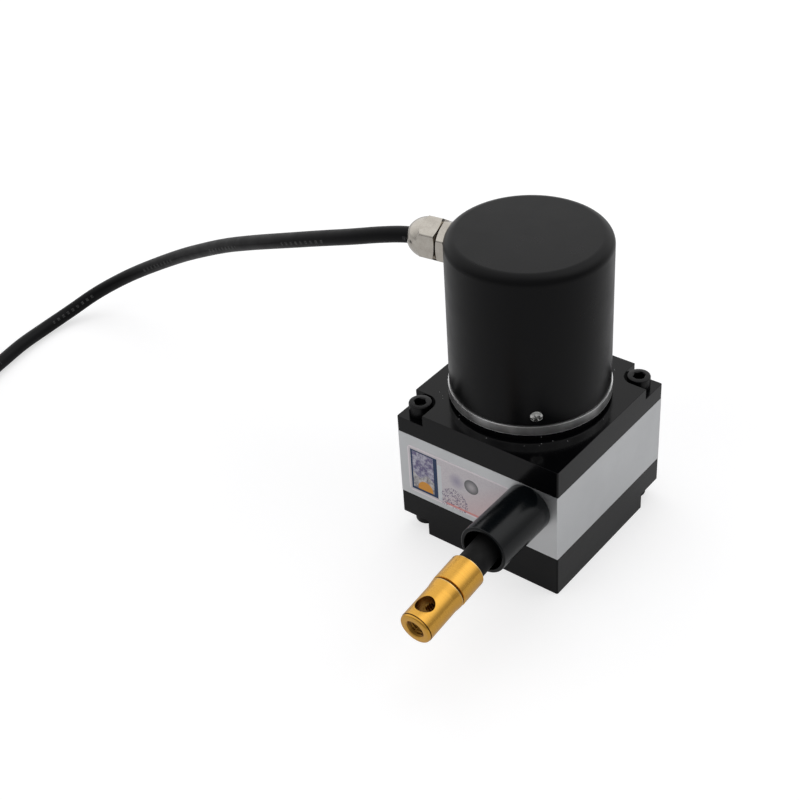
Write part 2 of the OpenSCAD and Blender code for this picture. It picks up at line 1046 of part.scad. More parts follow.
// The clamping nut: a hexagon turned down to a dome at the cable's mouth.
module gland_nut() {
    hex_l = 5.9;
    dome = gland_end - nut_at - hex_l;
    color([0.74, 0.72, 0.68])
        outwards(gland_dir, gland_z)
            difference() {
                intersection() {
                    translate([0, 0, nut_at])
                        rotate([0, 0, 10])
                            cylinder(h = gland_end - nut_at, r = hex_af / sqrt(3), $fn = 6);
                    translate([0, 0, nut_at])
                        rotate_extrude() {
                            square([hex_af / 2 + 1.2, hex_l - 0.8]);
                            translate([0, hex_l - 0.8])
                                intersection() {
                                    circle(hex_af / 2 + 1.2);
                                    square([20, dome + 0.8]);
                                }
                        }
                }
                translate([0, 0, nut_at - 1])
                    cylinder(h = 8, r = 5.85);
                translate([0, 0, nut_at + 6.99])
                    cylinder(h = 3.4, r1 = 5.2, r2 = 4.2);
                translate([0, 0, nut_at])
                    cylinder(h = 30, r = cable_d / 2 + 0.25);
            }
}

// ---------- cable ----------

// The jacket runs from inside the cap to a notch where the coil takes it up.
module cable() {
    color([0.06, 0.06, 0.07])
        tube_along(cable_route, cable_d / 2, 12);
}

// The outer shape of the coil, notched where the cable runs in.
module cable_coil() {
    color([0.06, 0.06, 0.07])
        difference() {
            translate([coil_at[0], coil_at[1], coil_low])
                rotate_extrude()
                    translate([coil_r - cable_d, 0]) {
                        translate([1, 0])
                            square([2 * cable_d - 2, coil_high - coil_low]);
                        translate([0, 1])
                            square([2 * cable_d, coil_high - coil_low - 2]);
                    }
            translate([coil_at[0] + coil_r + cable_d / 2, coil_at[1], coil_low + cable_d / 2])
                rotate([-90, 0, 0])
                    cylinder(h = 40, r = cable_d / 2 + cable_fit);
        }
}

// The tie holds the turns together on the side away from the body.
module cable_tie() {
    strap = 0.8;
    color([0.08, 0.08, 0.08])
        translate([coil_at[0], coil_at[1], 0])
            rotate([0, 0, 200])
                translate([coil_r, 0, coil_high / 2 + 0.5])
                    rotate([90, 0, 0])
                        linear_extrude(5, center = true)
                            difference() {
                                square([2 * cable_d + 0.4 + 2 * strap, coil_high + 1], center = true);
                                square([2 * cable_d + 0.4, coil_high + 1 - 2 * strap], center = true);
                            }
}

// The bare cores at the far end lie on the floor inside the coil.
module cable_leads() {
    start_r = coil_r - cable_d + 1;
    sweep = 90;
    steps = 9;
    color([0.5, 0.2, 0.15])
        translate([coil_at[0], coil_at[1], 0])
            tube_along(
                [for (i = [0:steps])
                    let (r = start_r - 2.8 - 8 * sin(90 * i / steps), a = sweep * i / steps)
                    [r * cos(a), r * sin(a), 2]],
                1.8, 8);
}

// ---------- assembly ----------

base_plate();
body_block();
top_plate();
base_screws();
top_screws();
label();
spring_cover();
cover_screws();
power_spring();
spring_pin();
bearing_outer_rings();
shaft_seal();
outlet_tube();
outlet_bush();
wire_wiper();
encoder_flange();
flange_screws();
cap();
cap_seal();
cap_screws();
reading_head();
circuit_board();
board_posts();
board_screws();
board_parts();
terminal_block();
cable_cores();
gland_body();
gland_washer();
gland_seal();
gland_nut();
cable();
cable_coil();
cable_tie();
cable_leads();
shaft();
spring_arbor();
drum();
drum_pin();
wire_anchor();
wound_wire();
bearing_inner_rings();
retaining_ring();
disc_hub();
hub_screw();
code_disc();
bearing_balls();
bearing_cages();
wire();
wire_tail();
rubber_buffer();
end_fitting();
crimp_ferrule();
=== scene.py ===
"""Looks of the draw wire encoder: its camera, its cable, its pieces, its surfaces and its light.

Lengths are metres in the CAD frame, where +Z is up and the wire leaves towards -Y. Turned pieces
are drawn in millimetres round the Z axis, and the AT_ matrices set them in their places.
"""

import json
import math

import bmesh
import bpy
from mathutils import Matrix, Vector


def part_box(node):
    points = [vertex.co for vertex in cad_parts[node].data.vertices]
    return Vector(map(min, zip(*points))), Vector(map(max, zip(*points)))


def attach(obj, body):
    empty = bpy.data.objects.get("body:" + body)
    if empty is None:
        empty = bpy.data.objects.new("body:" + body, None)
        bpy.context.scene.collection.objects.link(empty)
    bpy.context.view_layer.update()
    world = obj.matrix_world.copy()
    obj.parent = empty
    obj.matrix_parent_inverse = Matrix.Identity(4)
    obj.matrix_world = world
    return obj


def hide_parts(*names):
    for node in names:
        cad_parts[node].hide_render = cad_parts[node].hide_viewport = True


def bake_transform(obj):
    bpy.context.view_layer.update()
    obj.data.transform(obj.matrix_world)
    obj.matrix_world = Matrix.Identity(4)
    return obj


MM = 0.001
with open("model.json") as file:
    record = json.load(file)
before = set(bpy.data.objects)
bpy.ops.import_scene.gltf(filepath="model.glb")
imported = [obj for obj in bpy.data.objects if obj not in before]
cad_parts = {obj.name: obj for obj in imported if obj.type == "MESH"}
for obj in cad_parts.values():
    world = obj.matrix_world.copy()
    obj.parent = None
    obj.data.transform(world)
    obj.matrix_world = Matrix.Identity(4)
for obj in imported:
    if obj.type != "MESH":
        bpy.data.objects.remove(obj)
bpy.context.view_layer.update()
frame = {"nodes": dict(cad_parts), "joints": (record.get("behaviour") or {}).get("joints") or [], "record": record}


# ---------- sizes read from the frame ----------

def named(rows, name):
    return next(row for row in rows if row["name"] == name)


def middle(node):
    low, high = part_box(node)
    return (low + high) / 2


def radius_of(node):
    """Half the width of a round node."""
    low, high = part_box(node)
    return (high.x - low.x) / 2


base_low, base_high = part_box("base_plate")
block_low, block_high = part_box("body_block")
half_width = block_high.x
cap_low, cap_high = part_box("cap")
cap_r, cap_bottom = cap_high.x, cap_low.z

# The upper plate ends in a round boss, a little smaller than the cap
boss_r, boss_height = cap_r - 0.6 * MM, 1.8 * MM
upper_low, boss_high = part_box("top_plate")
upper_high = boss_high - Vector((0, 0, boss_height))

tube_r = radius_of("outlet_tube")
tube_length = -half_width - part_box("outlet_tube")[0].y
wire_line = middle("wire")
pivot = Vector(named(frame["joints"], "fitting_swing")["pos_m"])
mounts = frame["record"]["mounts"]
fitting_way = Vector(named(mounts, "end_thread")["axis"])
fitting_up = Vector(named(mounts, "cross_hole")["axis"])
gland_middle = middle("gland_nut")
gland_z = gland_middle.z
gland_angle = math.atan2(gland_middle.y, gland_middle.x)
cap_screw_angles = [gland_angle + math.tau * i / 3 for i in range(3)]


# ---------- camera ----------

def add_camera():
    """Looks down on the outlet side from the right, a little rolled."""
    azimuth, elevation, roll = math.radians(40.53), math.radians(36.46), math.radians(-4.19)
    data = bpy.data.cameras.new("camera")
    data.sensor_width = 36
    data.lens = 67.9
    data.clip_start = 0.01
    camera = bpy.data.objects.new("camera", data)
    camera.matrix_world = (
        Matrix.Translation((0.2484, -0.3629, 0.3781))
        @ Matrix.Rotation(azimuth, 4, "Z")
        @ Matrix.Rotation(math.radians(90) - elevation, 4, "X")
        @ Matrix.Rotation(roll, 4, "Z")
    )
    bpy.context.scene.collection.objects.link(camera)
    bpy.context.scene.camera = camera


add_camera()


# ---------- places of the turned pieces ----------

def turned_to(angle):
    """Lays the Z axis down, pointing away from the cap's axis at an angle."""
    return Matrix.Rotation(angle, 4, "Z") @ Matrix.Rotation(math.pi / 2, 4, "Y")


MILLI = Matrix.Scale(MM, 4)
AT_CAP = Matrix.Translation((0, 0, cap_bottom)) @ MILLI
AT_OUTLET = (Matrix.Translation((wire_line.x, -half_width, wire_line.z))
             @ Matrix.Rotation(math.pi / 2, 4, "X") @ MILLI)
FITTING_TURN = Matrix((fitting_up.cross(fitting_way), fitting_up, fitting_way)).transposed()
AT_FITTING = Matrix.Translation(pivot) @ FITTING_TURN.to_4x4() @ MILLI
AT_GLAND = Matrix.Translation((0, 0, gland_z)) @ turned_to(gland_angle) @ MILLI

# Along the end fitting from its pivot, and its nose's radius, in millimetres
FITTING_REAR, FITTING_FRONT = 18.1, 47.7
GROOVE_AT, LINE_AT = 29.2, 46.65
NOSE_R = 6.1


# ---------- materials ----------

# Every surface, by the name that Shader makes it with
MATERIALS = {}


class Tree:
    """A node tree, with a short call for each kind of node used here."""

    def __init__(self, tree):
        self.tree = tree

    def feed(self, socket, value):
        """Sets a socket to a constant, or links another node's output to it."""
        if isinstance(value, bpy.types.NodeSocket):
            self.tree.links.new(value, socket)
        elif isinstance(value, tuple) and len(value) == 3 and len(socket.default_value) == 4:
            socket.default_value = (*value, 1)
        else:
            socket.default_value = value

    def node(self, kind, inputs=None, **settings):
        made = self.tree.nodes.new(kind)
        for key, value in settings.items():
            setattr(made, key, value)
        for key, value in (inputs or {}).items():
            self.feed(made.inputs[key], value)
        return made

    def math(self, operation, a, b=0.0):
        return self.node("ShaderNodeMath", {0: a, 1: b}, operation=operation).outputs[0]

    def plus(self, a, b):
        return self.math("ADD", a, b)

    def minus(self, a, b):
        return self.math("SUBTRACT", a, b)

    def times(self, a, b):
        return self.math("MULTIPLY", a, b)

    def larger(self, a, b):
        return self.math("MAXIMUM", a, b)

    def above(self, value, limit):
        """1 where a value is above a limit, and 0 elsewhere."""
        return self.math("GREATER_THAN", value, limit)

    def below(self, value, limit):
        return self.math("LESS_THAN", value, limit)

    def between(self, value, low, high):
        return self.times(self.above(value, low), self.below(value, high))

    def ramp(self, value, low, high, out_low=0.0, out_high=1.0, **settings):
        inputs = {"Value": value, "From Min": low, "From Max": high,
                  "To Min": out_low, "To Max": out_high}
        return self.node("ShaderNodeMapRange", inputs, clamp=True, **settings).outputs[0]

    def seen_rays(self):
        """Two switches: on for the camera's rays, also through glass, and on for gloss."""
        path = self.node("ShaderNodeLightPath").outputs
        direct = self.larger(path["Is Camera Ray"], path["Is Transmission Ray"])
        return direct, path["Is Glossy Ray"]


class Shader(Tree):
    """The node tree of one material. Its patterns go by the place in the frame."""

    def __init__(self, name, **values):
        MATERIALS[name] = bpy.data.materials.new(name)
        MATERIALS[name].use_nodes = True
        super().__init__(MATERIALS[name].node_tree)
        self.surface = self.tree.nodes["Principled BSDF"]
        self.set(**values)
        self.place = self.node("ShaderNodeTexCoord").outputs["Object"]

    def set(self, **values):
        """Feeds inputs of the surface, such as base_color."""
        for key, value in values.items():
            name = key.replace("_", " ").title().replace("Ior", "IOR")
            self.feed(self.surface.inputs[name], value)

    def local(self, matrix):
        """The place on a turned piece, in metres, with Z along the piece's axis."""
        turn = matrix.to_3x3().normalized().to_euler()
        inputs = {"Vector": self.place, "Location": tuple(matrix.translation), "Rotation": turn}
        return self.node("ShaderNodeMapping", inputs, vector_type="TEXTURE").outputs[0]

    def scaled(self, scale):
        """The place with its axes scaled, which draws noise out along the small ones."""
        return self.node("ShaderNodeMapping", {"Vector": self.place, "Scale": scale}).outputs[0]

    def axes(self, vector=None):
        """The X, Y and Z of a vector, or else of the place."""
        return self.node("ShaderNodeSeparateXYZ", {0: vector or self.place}).outputs

    def attribute(self, name):
        """A value that the mesh keeps at its vertices."""
        return self.node("ShaderNodeAttribute", attribute_name=name).outputs["Fac"]

    def distance(self, x, y, centre_x=0.0, centre_y=0.0):
        """Distance from one point in a plane."""
        a, b = self.minus(x, centre_x), self.minus(y, centre_y)
        return self.math("SQRT", self.plus(self.times(a, a), self.times(b, b)))

    def edge(self, low, high):
        """Distance from a point on a box's surface to the box's nearest edge."""
        a, b, c = (self.minus((end - start) / 2,
                              self.math("ABSOLUTE", self.minus(value, (start + end) / 2)))
                   for value, start, end in zip(self.axes(), low, high))
        lower, upper = self.math("MINIMUM", a, b), self.larger(a, b)
        return self.larger(lower, self.math("MINIMUM", upper, c))

    def noise(self, size, detail=3, roughness=0.5, place=None):
        """Cloudy noise from 0 to 1 with features about size metres across."""
        inputs = {"Vector": place or self.place, "Scale": 1 / size, "Detail": detail,
                  "Roughness": roughness}
        return self.node("ShaderNodeTexNoise", inputs).outputs["Fac"]

    def turning(self, place, pitch):
        """Noise that is the same all the way round the Z axis, as a lathe leaves it."""
        x, y, z = self.axes(place)
        lines = self.node("ShaderNodeCombineXYZ", {0: self.distance(x, y), 1: z}).outputs[0]
        return self.noise(pitch, 2, 0.6, lines)

    def spots(self, size, share, width):
        """1 on small round spots, in some share of the cells that are size metres across."""
        cells = self.node("ShaderNodeTexVoronoi", {"Vector": self.place, "Scale": 1 / size})
        chosen = self.below(self.axes(cells.outputs["Color"])[0], share)
        return self.times(self.below(cells.outputs["Distance"], width), chosen)

    def vary(self, noise, low, high):
        """From low to high, as noise goes from 0.3 to 0.7, where most of it lies."""
        return self.ramp(noise, 0.3, 0.7, low, high)

    def mix(self, share, a, b):
        """Colour a where the share is 0, and colour b where it is 1."""
        made = self.node("ShaderNodeMix", data_type="RGBA")
        self.feed(made.inputs["Factor"], share)
        for name, value in (("A", a), ("B", b)):
            socket = next(s for s in made.inputs if s.name == name and s.type == "RGBA")
            self.feed(socket, value)
        return next(s for s in made.outputs if s.type == "RGBA")

    def cloudy(self, noise, a, b):
        """Two colours in clouds that noise gives."""
        return self.mix(self.ramp(noise, 0.35, 0.65), a, b)

    def in_steps(self, value, colour, *steps):
        """The first colour, then each step's colour where the value is above the step's limit."""
        for limit, following in steps:
            colour = self.mix(self.above(value, limit), colour, following)
        return colour

    def bump(self, height, depth, base=None):
        """Raises the surface, over another bump if there is one, by height times depth metres."""
        inputs = {"Height": height, "Distance": depth, "Strength": 1.0}
        if base is not None:
            inputs["Normal"] = base
        made = self.node("ShaderNodeBump", inputs)
        self.set(normal=made.outputs[0])
        return made.outputs[0]


def worn(s, edge, reach, share):
    """1 on the small patches where an edge has lost its finish."""
    near = s.ramp(edge, 0.0, reach, 1.0, 0.0)
    return s.above(s.times(near, s.noise(1.5 * MM, 4, 0.7)), 1 - share)


def dust(s):
    """1 on fine dust round the boss, and on a few larger specks elsewhere."""
    x, y, _ = s.axes()
    near_boss = s.between(s.distance(x, y), boss_r - 0.3 * MM, boss_r + 4.5 * MM)
    fine = s.times(s.spots(1.1 * MM, 0.2, 0.13), near_boss)
    return s.larger(fine, s.spots(2.6 * MM, 0.008, 0.06))


def black_plate(name, low, high, dusty=False):
    """Black anodised plate: smooth and glossy, with a faint grain and thin rubbed edges."""
    s = Shader(name, specular_ior_level=0.2)
    rubbed = worn(s, s.edge(low, high), 0.5 * MM, 0.36)
    colour = s.mix(rubbed, (0.0014, 0.0014, 0.0018), (0.05, 0.05, 0.052))
    if dusty:
        colour = s.mix(dust(s), colour, (0.45, 0.45, 0.45))
    s.set(base_color=colour, roughness=s.vary(s.noise(6 * MM, 4), 0.13, 0.2))
    s.bump(s.noise(0.25 * MM, 2), 0.003 * MM)


def cap_black():
    """The cap's satin black paint, with a faint orange-peel."""
    s = Shader("cap_black", base_color=(0.0014, 0.0014, 0.0018), specular_ior_level=0.16)
    s.set(roughness=s.vary(s.noise(9 * MM, 4), 0.27, 0.36))
    peel = s.bump(s.noise(0.9 * MM, 2), 0.008 * MM)
    s.bump(s.noise(0.3 * MM, 3), 0.004 * MM, peel)


def blasted_aluminium():
    """The block's fine satin silver anodising, with a few bright nicks along its edges."""
    s = Shader("clear_anodised", metallic=1.0)
    cloud = s.noise(14 * MM, 3)
    grain = s.noise(0.16 * MM, 2)
    nicks = worn(s, s.edge(block_low, block_high), 0.8 * MM, 0.37)
    silver = s.mix(s.vary(cloud, 0, 1), (0.68, 0.69, 0.70), (0.72, 0.73, 0.74))
    s.set(base_color=s.mix(nicks, silver, (0.9, 0.9, 0.9)), roughness=s.vary(grain, 0.42, 0.52))
    s.bump(grain, 0.008 * MM)


def ring_aluminium():
    """The flange ring: brushed, in lighter and darker stretches round it, with painted highlights along its top
    and bottom edges.
    """
    s = Shader("turned_ring", metallic=1.0)
    stretches = s.noise(9 * MM, 2, 0.5, s.scaled((1, 1, 0)))
    brushed = s.noise(0.35 * MM, 2, 0.6, s.scaled((1, 1, 0.15)))
    ring_bottom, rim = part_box("encoder_flange")[0].z, 0.35 * MM
    # Painted highlights: near white bands at the ring's top and bottom edges, where they catch the light
    painted_rim_highlights = s.minus(1.0, s.between(s.axes()[2], ring_bottom + rim, cap_bottom - rim))
    grey = s.cloudy(stretches, (0.3, 0.3, 0.3), (0.55, 0.55, 0.55))
    s.set(base_color=s.mix(painted_rim_highlights, grey, (0.9, 0.9, 0.9)), roughness=s.vary(brushed, 0.36, 0.5))
    s.bump(brushed, 0.004 * MM)


def gold_anodised():
    """Gold anodising on a turned fitting: fine rings, with painted highlights on its rear edge and the groove's
    edge, and painted shade in the grooves and holes.
    """
    s = Shader("gold_anodised", metallic=1.0)
    place = s.local(AT_FITTING)
    x, y, z = (s.times(value, 1 / MM) for value in s.axes(place))
    rings = s.turning(place, 0.12 * MM)
    lighter, darker = (0.78, 0.425, 0.078), (0.66, 0.34, 0.058)
    colour = s.mix(s.ramp(rings, 0.35, 0.65, 0.0, 0.6), lighter, darker)
    # Painted highlights: lighter bands at the rear edge and at the groove's front edge
    painted_rim_highlights = s.plus(s.between(z, FITTING_REAR - 0.2, FITTING_REAR + 0.3),
                  s.between(z, GROOVE_AT + 0.4, GROOVE_AT + 0.65))
    colour = s.mix(s.times(painted_rim_highlights, 0.6), colour, (0.95, 0.75, 0.4))
    # Painted shade: darker in the groove and in the line near the front
    painted_groove_shade = s.plus(s.between(z, GROOVE_AT - 0.3, GROOVE_AT + 0.3),
                     s.between(z, LINE_AT - 0.2, LINE_AT + 0.2))
    # Painted shade inside the holes and the thread
    inside = s.times(s.below(s.distance(x, y), NOSE_R - 0.35),
                     s.between(z, FITTING_REAR + 0.4, FITTING_FRONT - 0.3))
    # All the painted shade, which darkens the colour
    dark = s.larger(s.times(painted_groove_shade, 0.85), s.times(inside, 0.7))
    s.set(base_color=s.mix(dark, colour, (0.06, 0.018, 0.004)),
          roughness=s.ramp(s.plus(s.noise(3 * MM, 3), rings), 0.7, 1.3, 0.2, 0.29))
    s.bump(rings, 0.0012 * MM)


def nickel():
    """Bright nickel plate on machined brass: warm, with fine scratches and dull clouds."""
    s = Shader("nickel", metallic=1.0)
    cloud = s.noise(2.5 * MM, 5, 0.65)
    scratches = s.noise(0.08 * MM, 3, 0.6, s.scaled((1, 0.12, 1)))
    s.set(base_color=s.cloudy(cloud, (0.58, 0.545, 0.49), (0.5, 0.465, 0.415)),
          roughness=s.vary(cloud, 0.13, 0.22))
    s.bump(scratches, 0.003 * MM)


def picture(s, x, z):
    """An orange disc rising before pale hills, under a cloudy sky."""
    clouds = s.ramp(s.noise(1.6 * MM, 4, 0.7), 0.4, 0.62)
    sky = s.mix(clouds, (0.16, 0.14, 0.26), (0.55, 0.54, 0.62))
    hills = s.mix(clouds, (0.62, 0.6, 0.6), (0.2, 0.18, 0.2))
    hill_top = s.plus(s.times(s.math("SINE", s.times(x, 0.9)), 1.1), 8.6)
    view = s.mix(s.below(z, hill_top), sky, hills)
    return s.mix(s.below(s.distance(x, z, 7.6, 3.0), 3.4), view, (0.75, 0.33, 0.05))


def sticker():
    """A silver sticker with a plain printed design: a framed picture on its left, then a dotted
    field, a shaded disc and a warm strip. The layout is in millimetres from its lower left."""
    s = Shader("sticker", specular_ior_level=0.35)
    low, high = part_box("label")
    across, _, up = s.axes()
    x, z = s.times(s.minus(across, low.x), 1 / MM), s.times(s.minus(up, low.z), 1 / MM)
    width, height = (high.x - low.x) / MM, (high.z - low.z) / MM

    def area(left, right, bottom, top):
        return s.times(s.between(x, left, right), s.between(z, bottom, top))

    speckle = s.noise(0.5 * MM, 3, 0.7)
    colour = s.cloudy(speckle, (0.72, 0.68, 0.7), (0.62, 0.58, 0.61))
    warm = s.ramp(s.minus(x, s.times(z, 1.6)), 8, 30)
    colour = s.mix(s.times(warm, 0.55), colour, (0.76, 0.48, 0.47))
    border = s.minus(1.0, area(0.55, width - 0.55, 0.55, height - 0.55))
    colour = s.mix(border, colour, (0.86, 0.8, 0.83))

    dots = s.above(s.noise(0.42 * MM, 1), 0.56)
    field = s.times(dots, s.below(s.distance(x, z, 20.5, 3.0), 6.2))
    colour = s.mix(field, colour, (0.2, 0.15, 0.24))
    pale_strip = s.times(area(13.4, 15.2, 1.0, 17.5), 0.8)
    colour = s.mix(pale_strip, colour, (0.72, 0.76, 0.78))
    disc_r, from_disc = 3.1, s.distance(x, z, 28.5, 13.8)
    disc = s.times(s.ramp(from_disc, 0.6, disc_r, 0.35, 0.95), s.below(from_disc, disc_r))
    colour = s.mix(disc, colour, (0.1, 0.105, 0.11))
    shade = s.ramp(s.distance(x, z, 22.0, 13.5), 0.5, 4.0, 0.7, 0.0)
    colour = s.mix(shade, colour, (0.3, 0.27, 0.4))
    warm_strip = area(17.0, width - 1.0, 0.8, 1.6)
    colour = s.mix(warm_strip, colour, (0.75, 0.3, 0.28))

    colour = s.mix(area(1.3, 13.3, 1.3, height - 1.3), colour, (0.012, 0.035, 0.1))
    colour = s.mix(area(2.1, 11.6, 2.3, height - 1.9), colour, picture(s, x, z))
    s.set(base_color=colour, roughness=s.vary(speckle, 0.25, 0.4))
    s.bump(speckle, 0.004 * MM)


def cable_jacket():
    """Satin black PVC with groups of plain, half rubbed-off ticks down one side."""
    s = Shader("cable_jacket", specular_ior_level=0.13)

    def repeated(pitch, share):
        """1 on the first share of each pitch along the cable."""
        return s.below(s.math("FRACT", s.math("DIVIDE", s.attribute("along"), pitch)), share)

    ticks = s.times(repeated(3 * MM, 0.45), repeated(62 * MM, 0.42))
    ticks = s.times(ticks, s.below(s.attribute("facing"), -0.97))
    ticks = s.times(ticks, s.ramp(s.noise(0.3 * MM, 2), 0.35, 0.6))
    s.set(base_color=s.mix(ticks, (0.003, 0.003, 0.0035), (0.06, 0.06, 0.06)),
          roughness=s.vary(s.noise(5 * MM, 3), 0.33, 0.45))
    swelling = s.bump(s.noise(6 * MM, 2), 0.05 * MM)
    s.bump(s.noise(0.5 * MM, 2), 0.008 * MM, swelling)


def steel_rope():
    """Stranded steel under a clear jacket: the strands are wound round the wire's line, with painted shade in the
    grooves between them.
    """
    s = Shader("steel_rope", metallic=1.0, roughness=0.3)
    strands, lay = 6, 5 * MM
    x, y, z = s.axes()
    angle = s.math("ARCTAN2", s.minus(z, wire_line.z), s.minus(x, wire_line.x))
    wave = s.math("SINE", s.plus(s.times(angle, strands), s.times(y, math.tau / lay)))
    # Painted shade: darker in the grooves between the strands
    s.set(base_color=s.mix(s.ramp(wave, -1, 1), (0.12, 0.12, 0.125), (0.5, 0.5, 0.51)))
    s.bump(wave, 0.05 * MM)


def core_colours():
    """Five insulated cores in the cap, which differ in colour by their height."""
    s = Shader("core_colours", roughness=0.4)
    height = s.math("FRACT", s.math("DIVIDE", s.axes()[2], 6 * MM))
    s.set(base_color=s.in_steps(
        height, (0.4, 0.03, 0.02), (0.2, (0.02, 0.02, 0.02)), (0.4, (0.03, 0.25, 0.06)),
        (0.6, (0.55, 0.35, 0.02)), (0.8, (0.5, 0.5, 0.48))))
    s.bump(s.noise(0.4 * MM, 2), 0.01 * MM)


# The cores are numbered from 0, and their stripped tips have the number after the last
CORES = 5


def lead_colours():
    """The cores outside the jacket: each has its colour, and the stripped tips are tinned."""
    s = Shader("bare_leads", roughness=0.38)
    core, tip = s.attribute("core"), CORES - 0.5
    s.set(metallic=s.above(core, tip), base_color=s.in_steps(
        core, (0.4, 0.02, 0.015), (0.5, (0.01, 0.01, 0.01)), (1.5, (0.02, 0.22, 0.05)),
        (2.5, (0.6, 0.38, 0.02)), (3.5, (0.55, 0.55, 0.53)), (tip, (0.5, 0.42, 0.36))))
    s.bump(s.noise(0.3 * MM, 2), 0.01 * MM)


def code_glass():
    """The code disc: glass with a ring of fine dark lines and an index ring."""
    s = Shader("glass", specular_ior_level=0.6)
    lines = 256
    x, y, _ = s.axes()
    across = s.distance(x, y)
    dark = s.above(s.math("SINE", s.times(s.math("ARCTAN2", y, x), lines)), 0.0)
    track = s.times(dark, s.between(across, 14 * MM, 16.5 * MM))
    index = s.between(across, 12.4 * MM, 12.7 * MM)
    s.set(base_color=s.mix(s.larger(track, index), (0.6, 0.68, 0.66), (0.03, 0.03, 0.03)),
          roughness=s.vary(s.noise(3 * MM, 2), 0.03, 0.08))


def board_green():
    """Solder mask with copper tracks showing through."""
    s = Shader("board_green", specular_ior_level=0.5)
    pitch = 1.6 * MM
    x, y, _ = s.axes()
    slanted = s.times(s.plus(x, y), math.tau / pitch)
    wander = s.times(s.noise(6 * MM, 1), 7.0)
    tracks = s.above(s.math("SINE", s.plus(slanted, wander)), 0.35)
    s.set(base_color=s.mix(tracks, (0.008, 0.09, 0.035), (0.02, 0.17, 0.06)),
          roughness=s.vary(s.noise(2 * MM, 3), 0.25, 0.38))
    s.bump(tracks, 0.02 * MM)


def plain(name, colour, roughness, metallic=0.0, grain=0.3, depth=0.006, gloss=0.5):
    """A surface with a fine grain and a cloudy colour and roughness."""
    s = Shader(name, metallic=metallic, specular_ior_level=gloss)
    cloud = s.noise(4 * MM, 3)
    darker = tuple(c * 0.85 for c in colour)
    s.set(base_color=s.cloudy(cloud, colour, darker),
          roughness=s.vary(cloud, roughness * 0.85, roughness * 1.15))
    s.bump(s.noise(grain * MM, 2), depth * MM)


black_plate("black_anodised", base_low, base_high)
black_plate("upper_plate", upper_low, upper_high, dusty=True)
cap_black()
blasted_aluminium()
ring_aluminium()
gold_anodised()
nickel()
sticker()
cable_jacket()
steel_rope()
core_colours()
lead_colours()
code_glass()
board_green()
plain("black_screw", (0.0025, 0.0025, 0.003), 0.28, gloss=0.22)
plain("zinc_screw", (0.6, 0.6, 0.59), 0.2, metallic=1.0)
plain("bare_aluminium", (0.4, 0.4, 0.41), 0.35, metallic=1.0)
plain("spring_steel", (0.3, 0.33, 0.38), 0.3, metallic=1.0)
plain("bearing_steel", (0.6, 0.6, 0.62), 0.12, metallic=1.0)
plain("brass", (0.6, 0.42, 0.17), 0.3, metallic=1.0)
plain("copper", (0.6, 0.35, 0.2), 0.3, metallic=1.0)
plain("black_rubber", (0.005, 0.005, 0.005), 0.6, grain=0.4, depth=0.015, gloss=0.2)
plain("black_plastic", (0.0022, 0.0032, 0.004), 0.22, gloss=0.25)
plain("nylon", (0.006, 0.006, 0.006), 0.4, gloss=0.25)
plain("bush_plastic", (0.7, 0.66, 0.55), 0.5)
plain("felt", (0.25, 0.22, 0.19), 0.9, grain=0.2, depth=0.08)
plain("chip_black", (0.02, 0.02, 0.022), 0.45)
plain("terminal_green", (0.03, 0.3, 0.08), 0.4)


def paint_nodes():
    """Each CAD node takes the surface of its slot in the record."""
    for sub in frame["record"]["subparts"]:
        node = frame["nodes"][sub["node"]]
        node.data.materials.clear()
        node.data.materials.append(MATERIALS[sub["material_slot"]])


paint_nodes()


# ---------- mesh tools ----------

def rounded(corners, steps=5):
    """A closed outline from corners given as (x, y, radius of its rounding)."""
    made = []
    for i, (x, y, r) in enumerate(corners):
        if r == 0:
            made.append((x, y))
            continue
        here = Vector((x, y))
        to_a = (Vector(corners[i - 1][:2]) - here).normalized()
        to_b = (Vector(corners[(i + 1) % len(corners)][:2]) - here).normalized()
        half_angle = to_a.angle(to_b) / 2
        centre = here + (to_a + to_b).normalized() * r / math.sin(half_angle)
        start = here + to_a * r / math.tan(half_angle) - centre
        end = here + to_b * r / math.tan(half_angle) - centre
        first = math.atan2(start.y, start.x)
        turn = (math.atan2(end.y, end.x) - first + math.pi) % math.tau - math.pi
        for k in range(steps + 1):
            angle = first + turn * k / steps
            made.append((centre.x + r * math.cos(angle), centre.y + r * math.sin(angle)))
    return made


def rounded_box(left, right, bottom, top, r, steps):
    return rounded([(left, bottom, r), (right, bottom, r), (right, top, r), (left, top, r)], steps)


def skin(bm, rings, loop=False):
    """Faces from each ring of vertices to the next. A loop goes on from the last ring to the
    first, and otherwise both ends are closed."""
    for a, b in zip(rings, rings[1:] + rings[:1] if loop else rings[1:]):
        for k in range(len(a)):
            n = (k + 1) % len(a)
            bm.faces.new((a[k], a[n], b[n], b[k]))
    if not loop:
        bm.faces.new(rings[0])
        bm.faces.new(rings[-1])


def face_outwards(bm):
    bmesh.ops.recalc_face_normals(bm, faces=bm.faces)


def turned(profile, sides=96, start=0.0):
    """A solid round the Z axis. The profile is a closed outline of (radius, height) points,
    or a function of the angle that gives one."""
    bm = bmesh.new()
    rings = []
    for i in range(sides):
        angle = start + math.tau * i / sides
        outline = profile(angle) if callable(profile) else profile
        rings.append([bm.verts.new((r * math.cos(angle), r * math.sin(angle), z))
                      for r, z in outline])
    skin(bm, rings, loop=True)
    bmesh.ops.remove_doubles(bm, verts=bm.verts, dist=1e-7)
    face_outwards(bm)
    return bm


def peg(radius, low, high, sides=64):
    return turned([(0, low), (radius, low), (radius, high), (0, high)], sides)


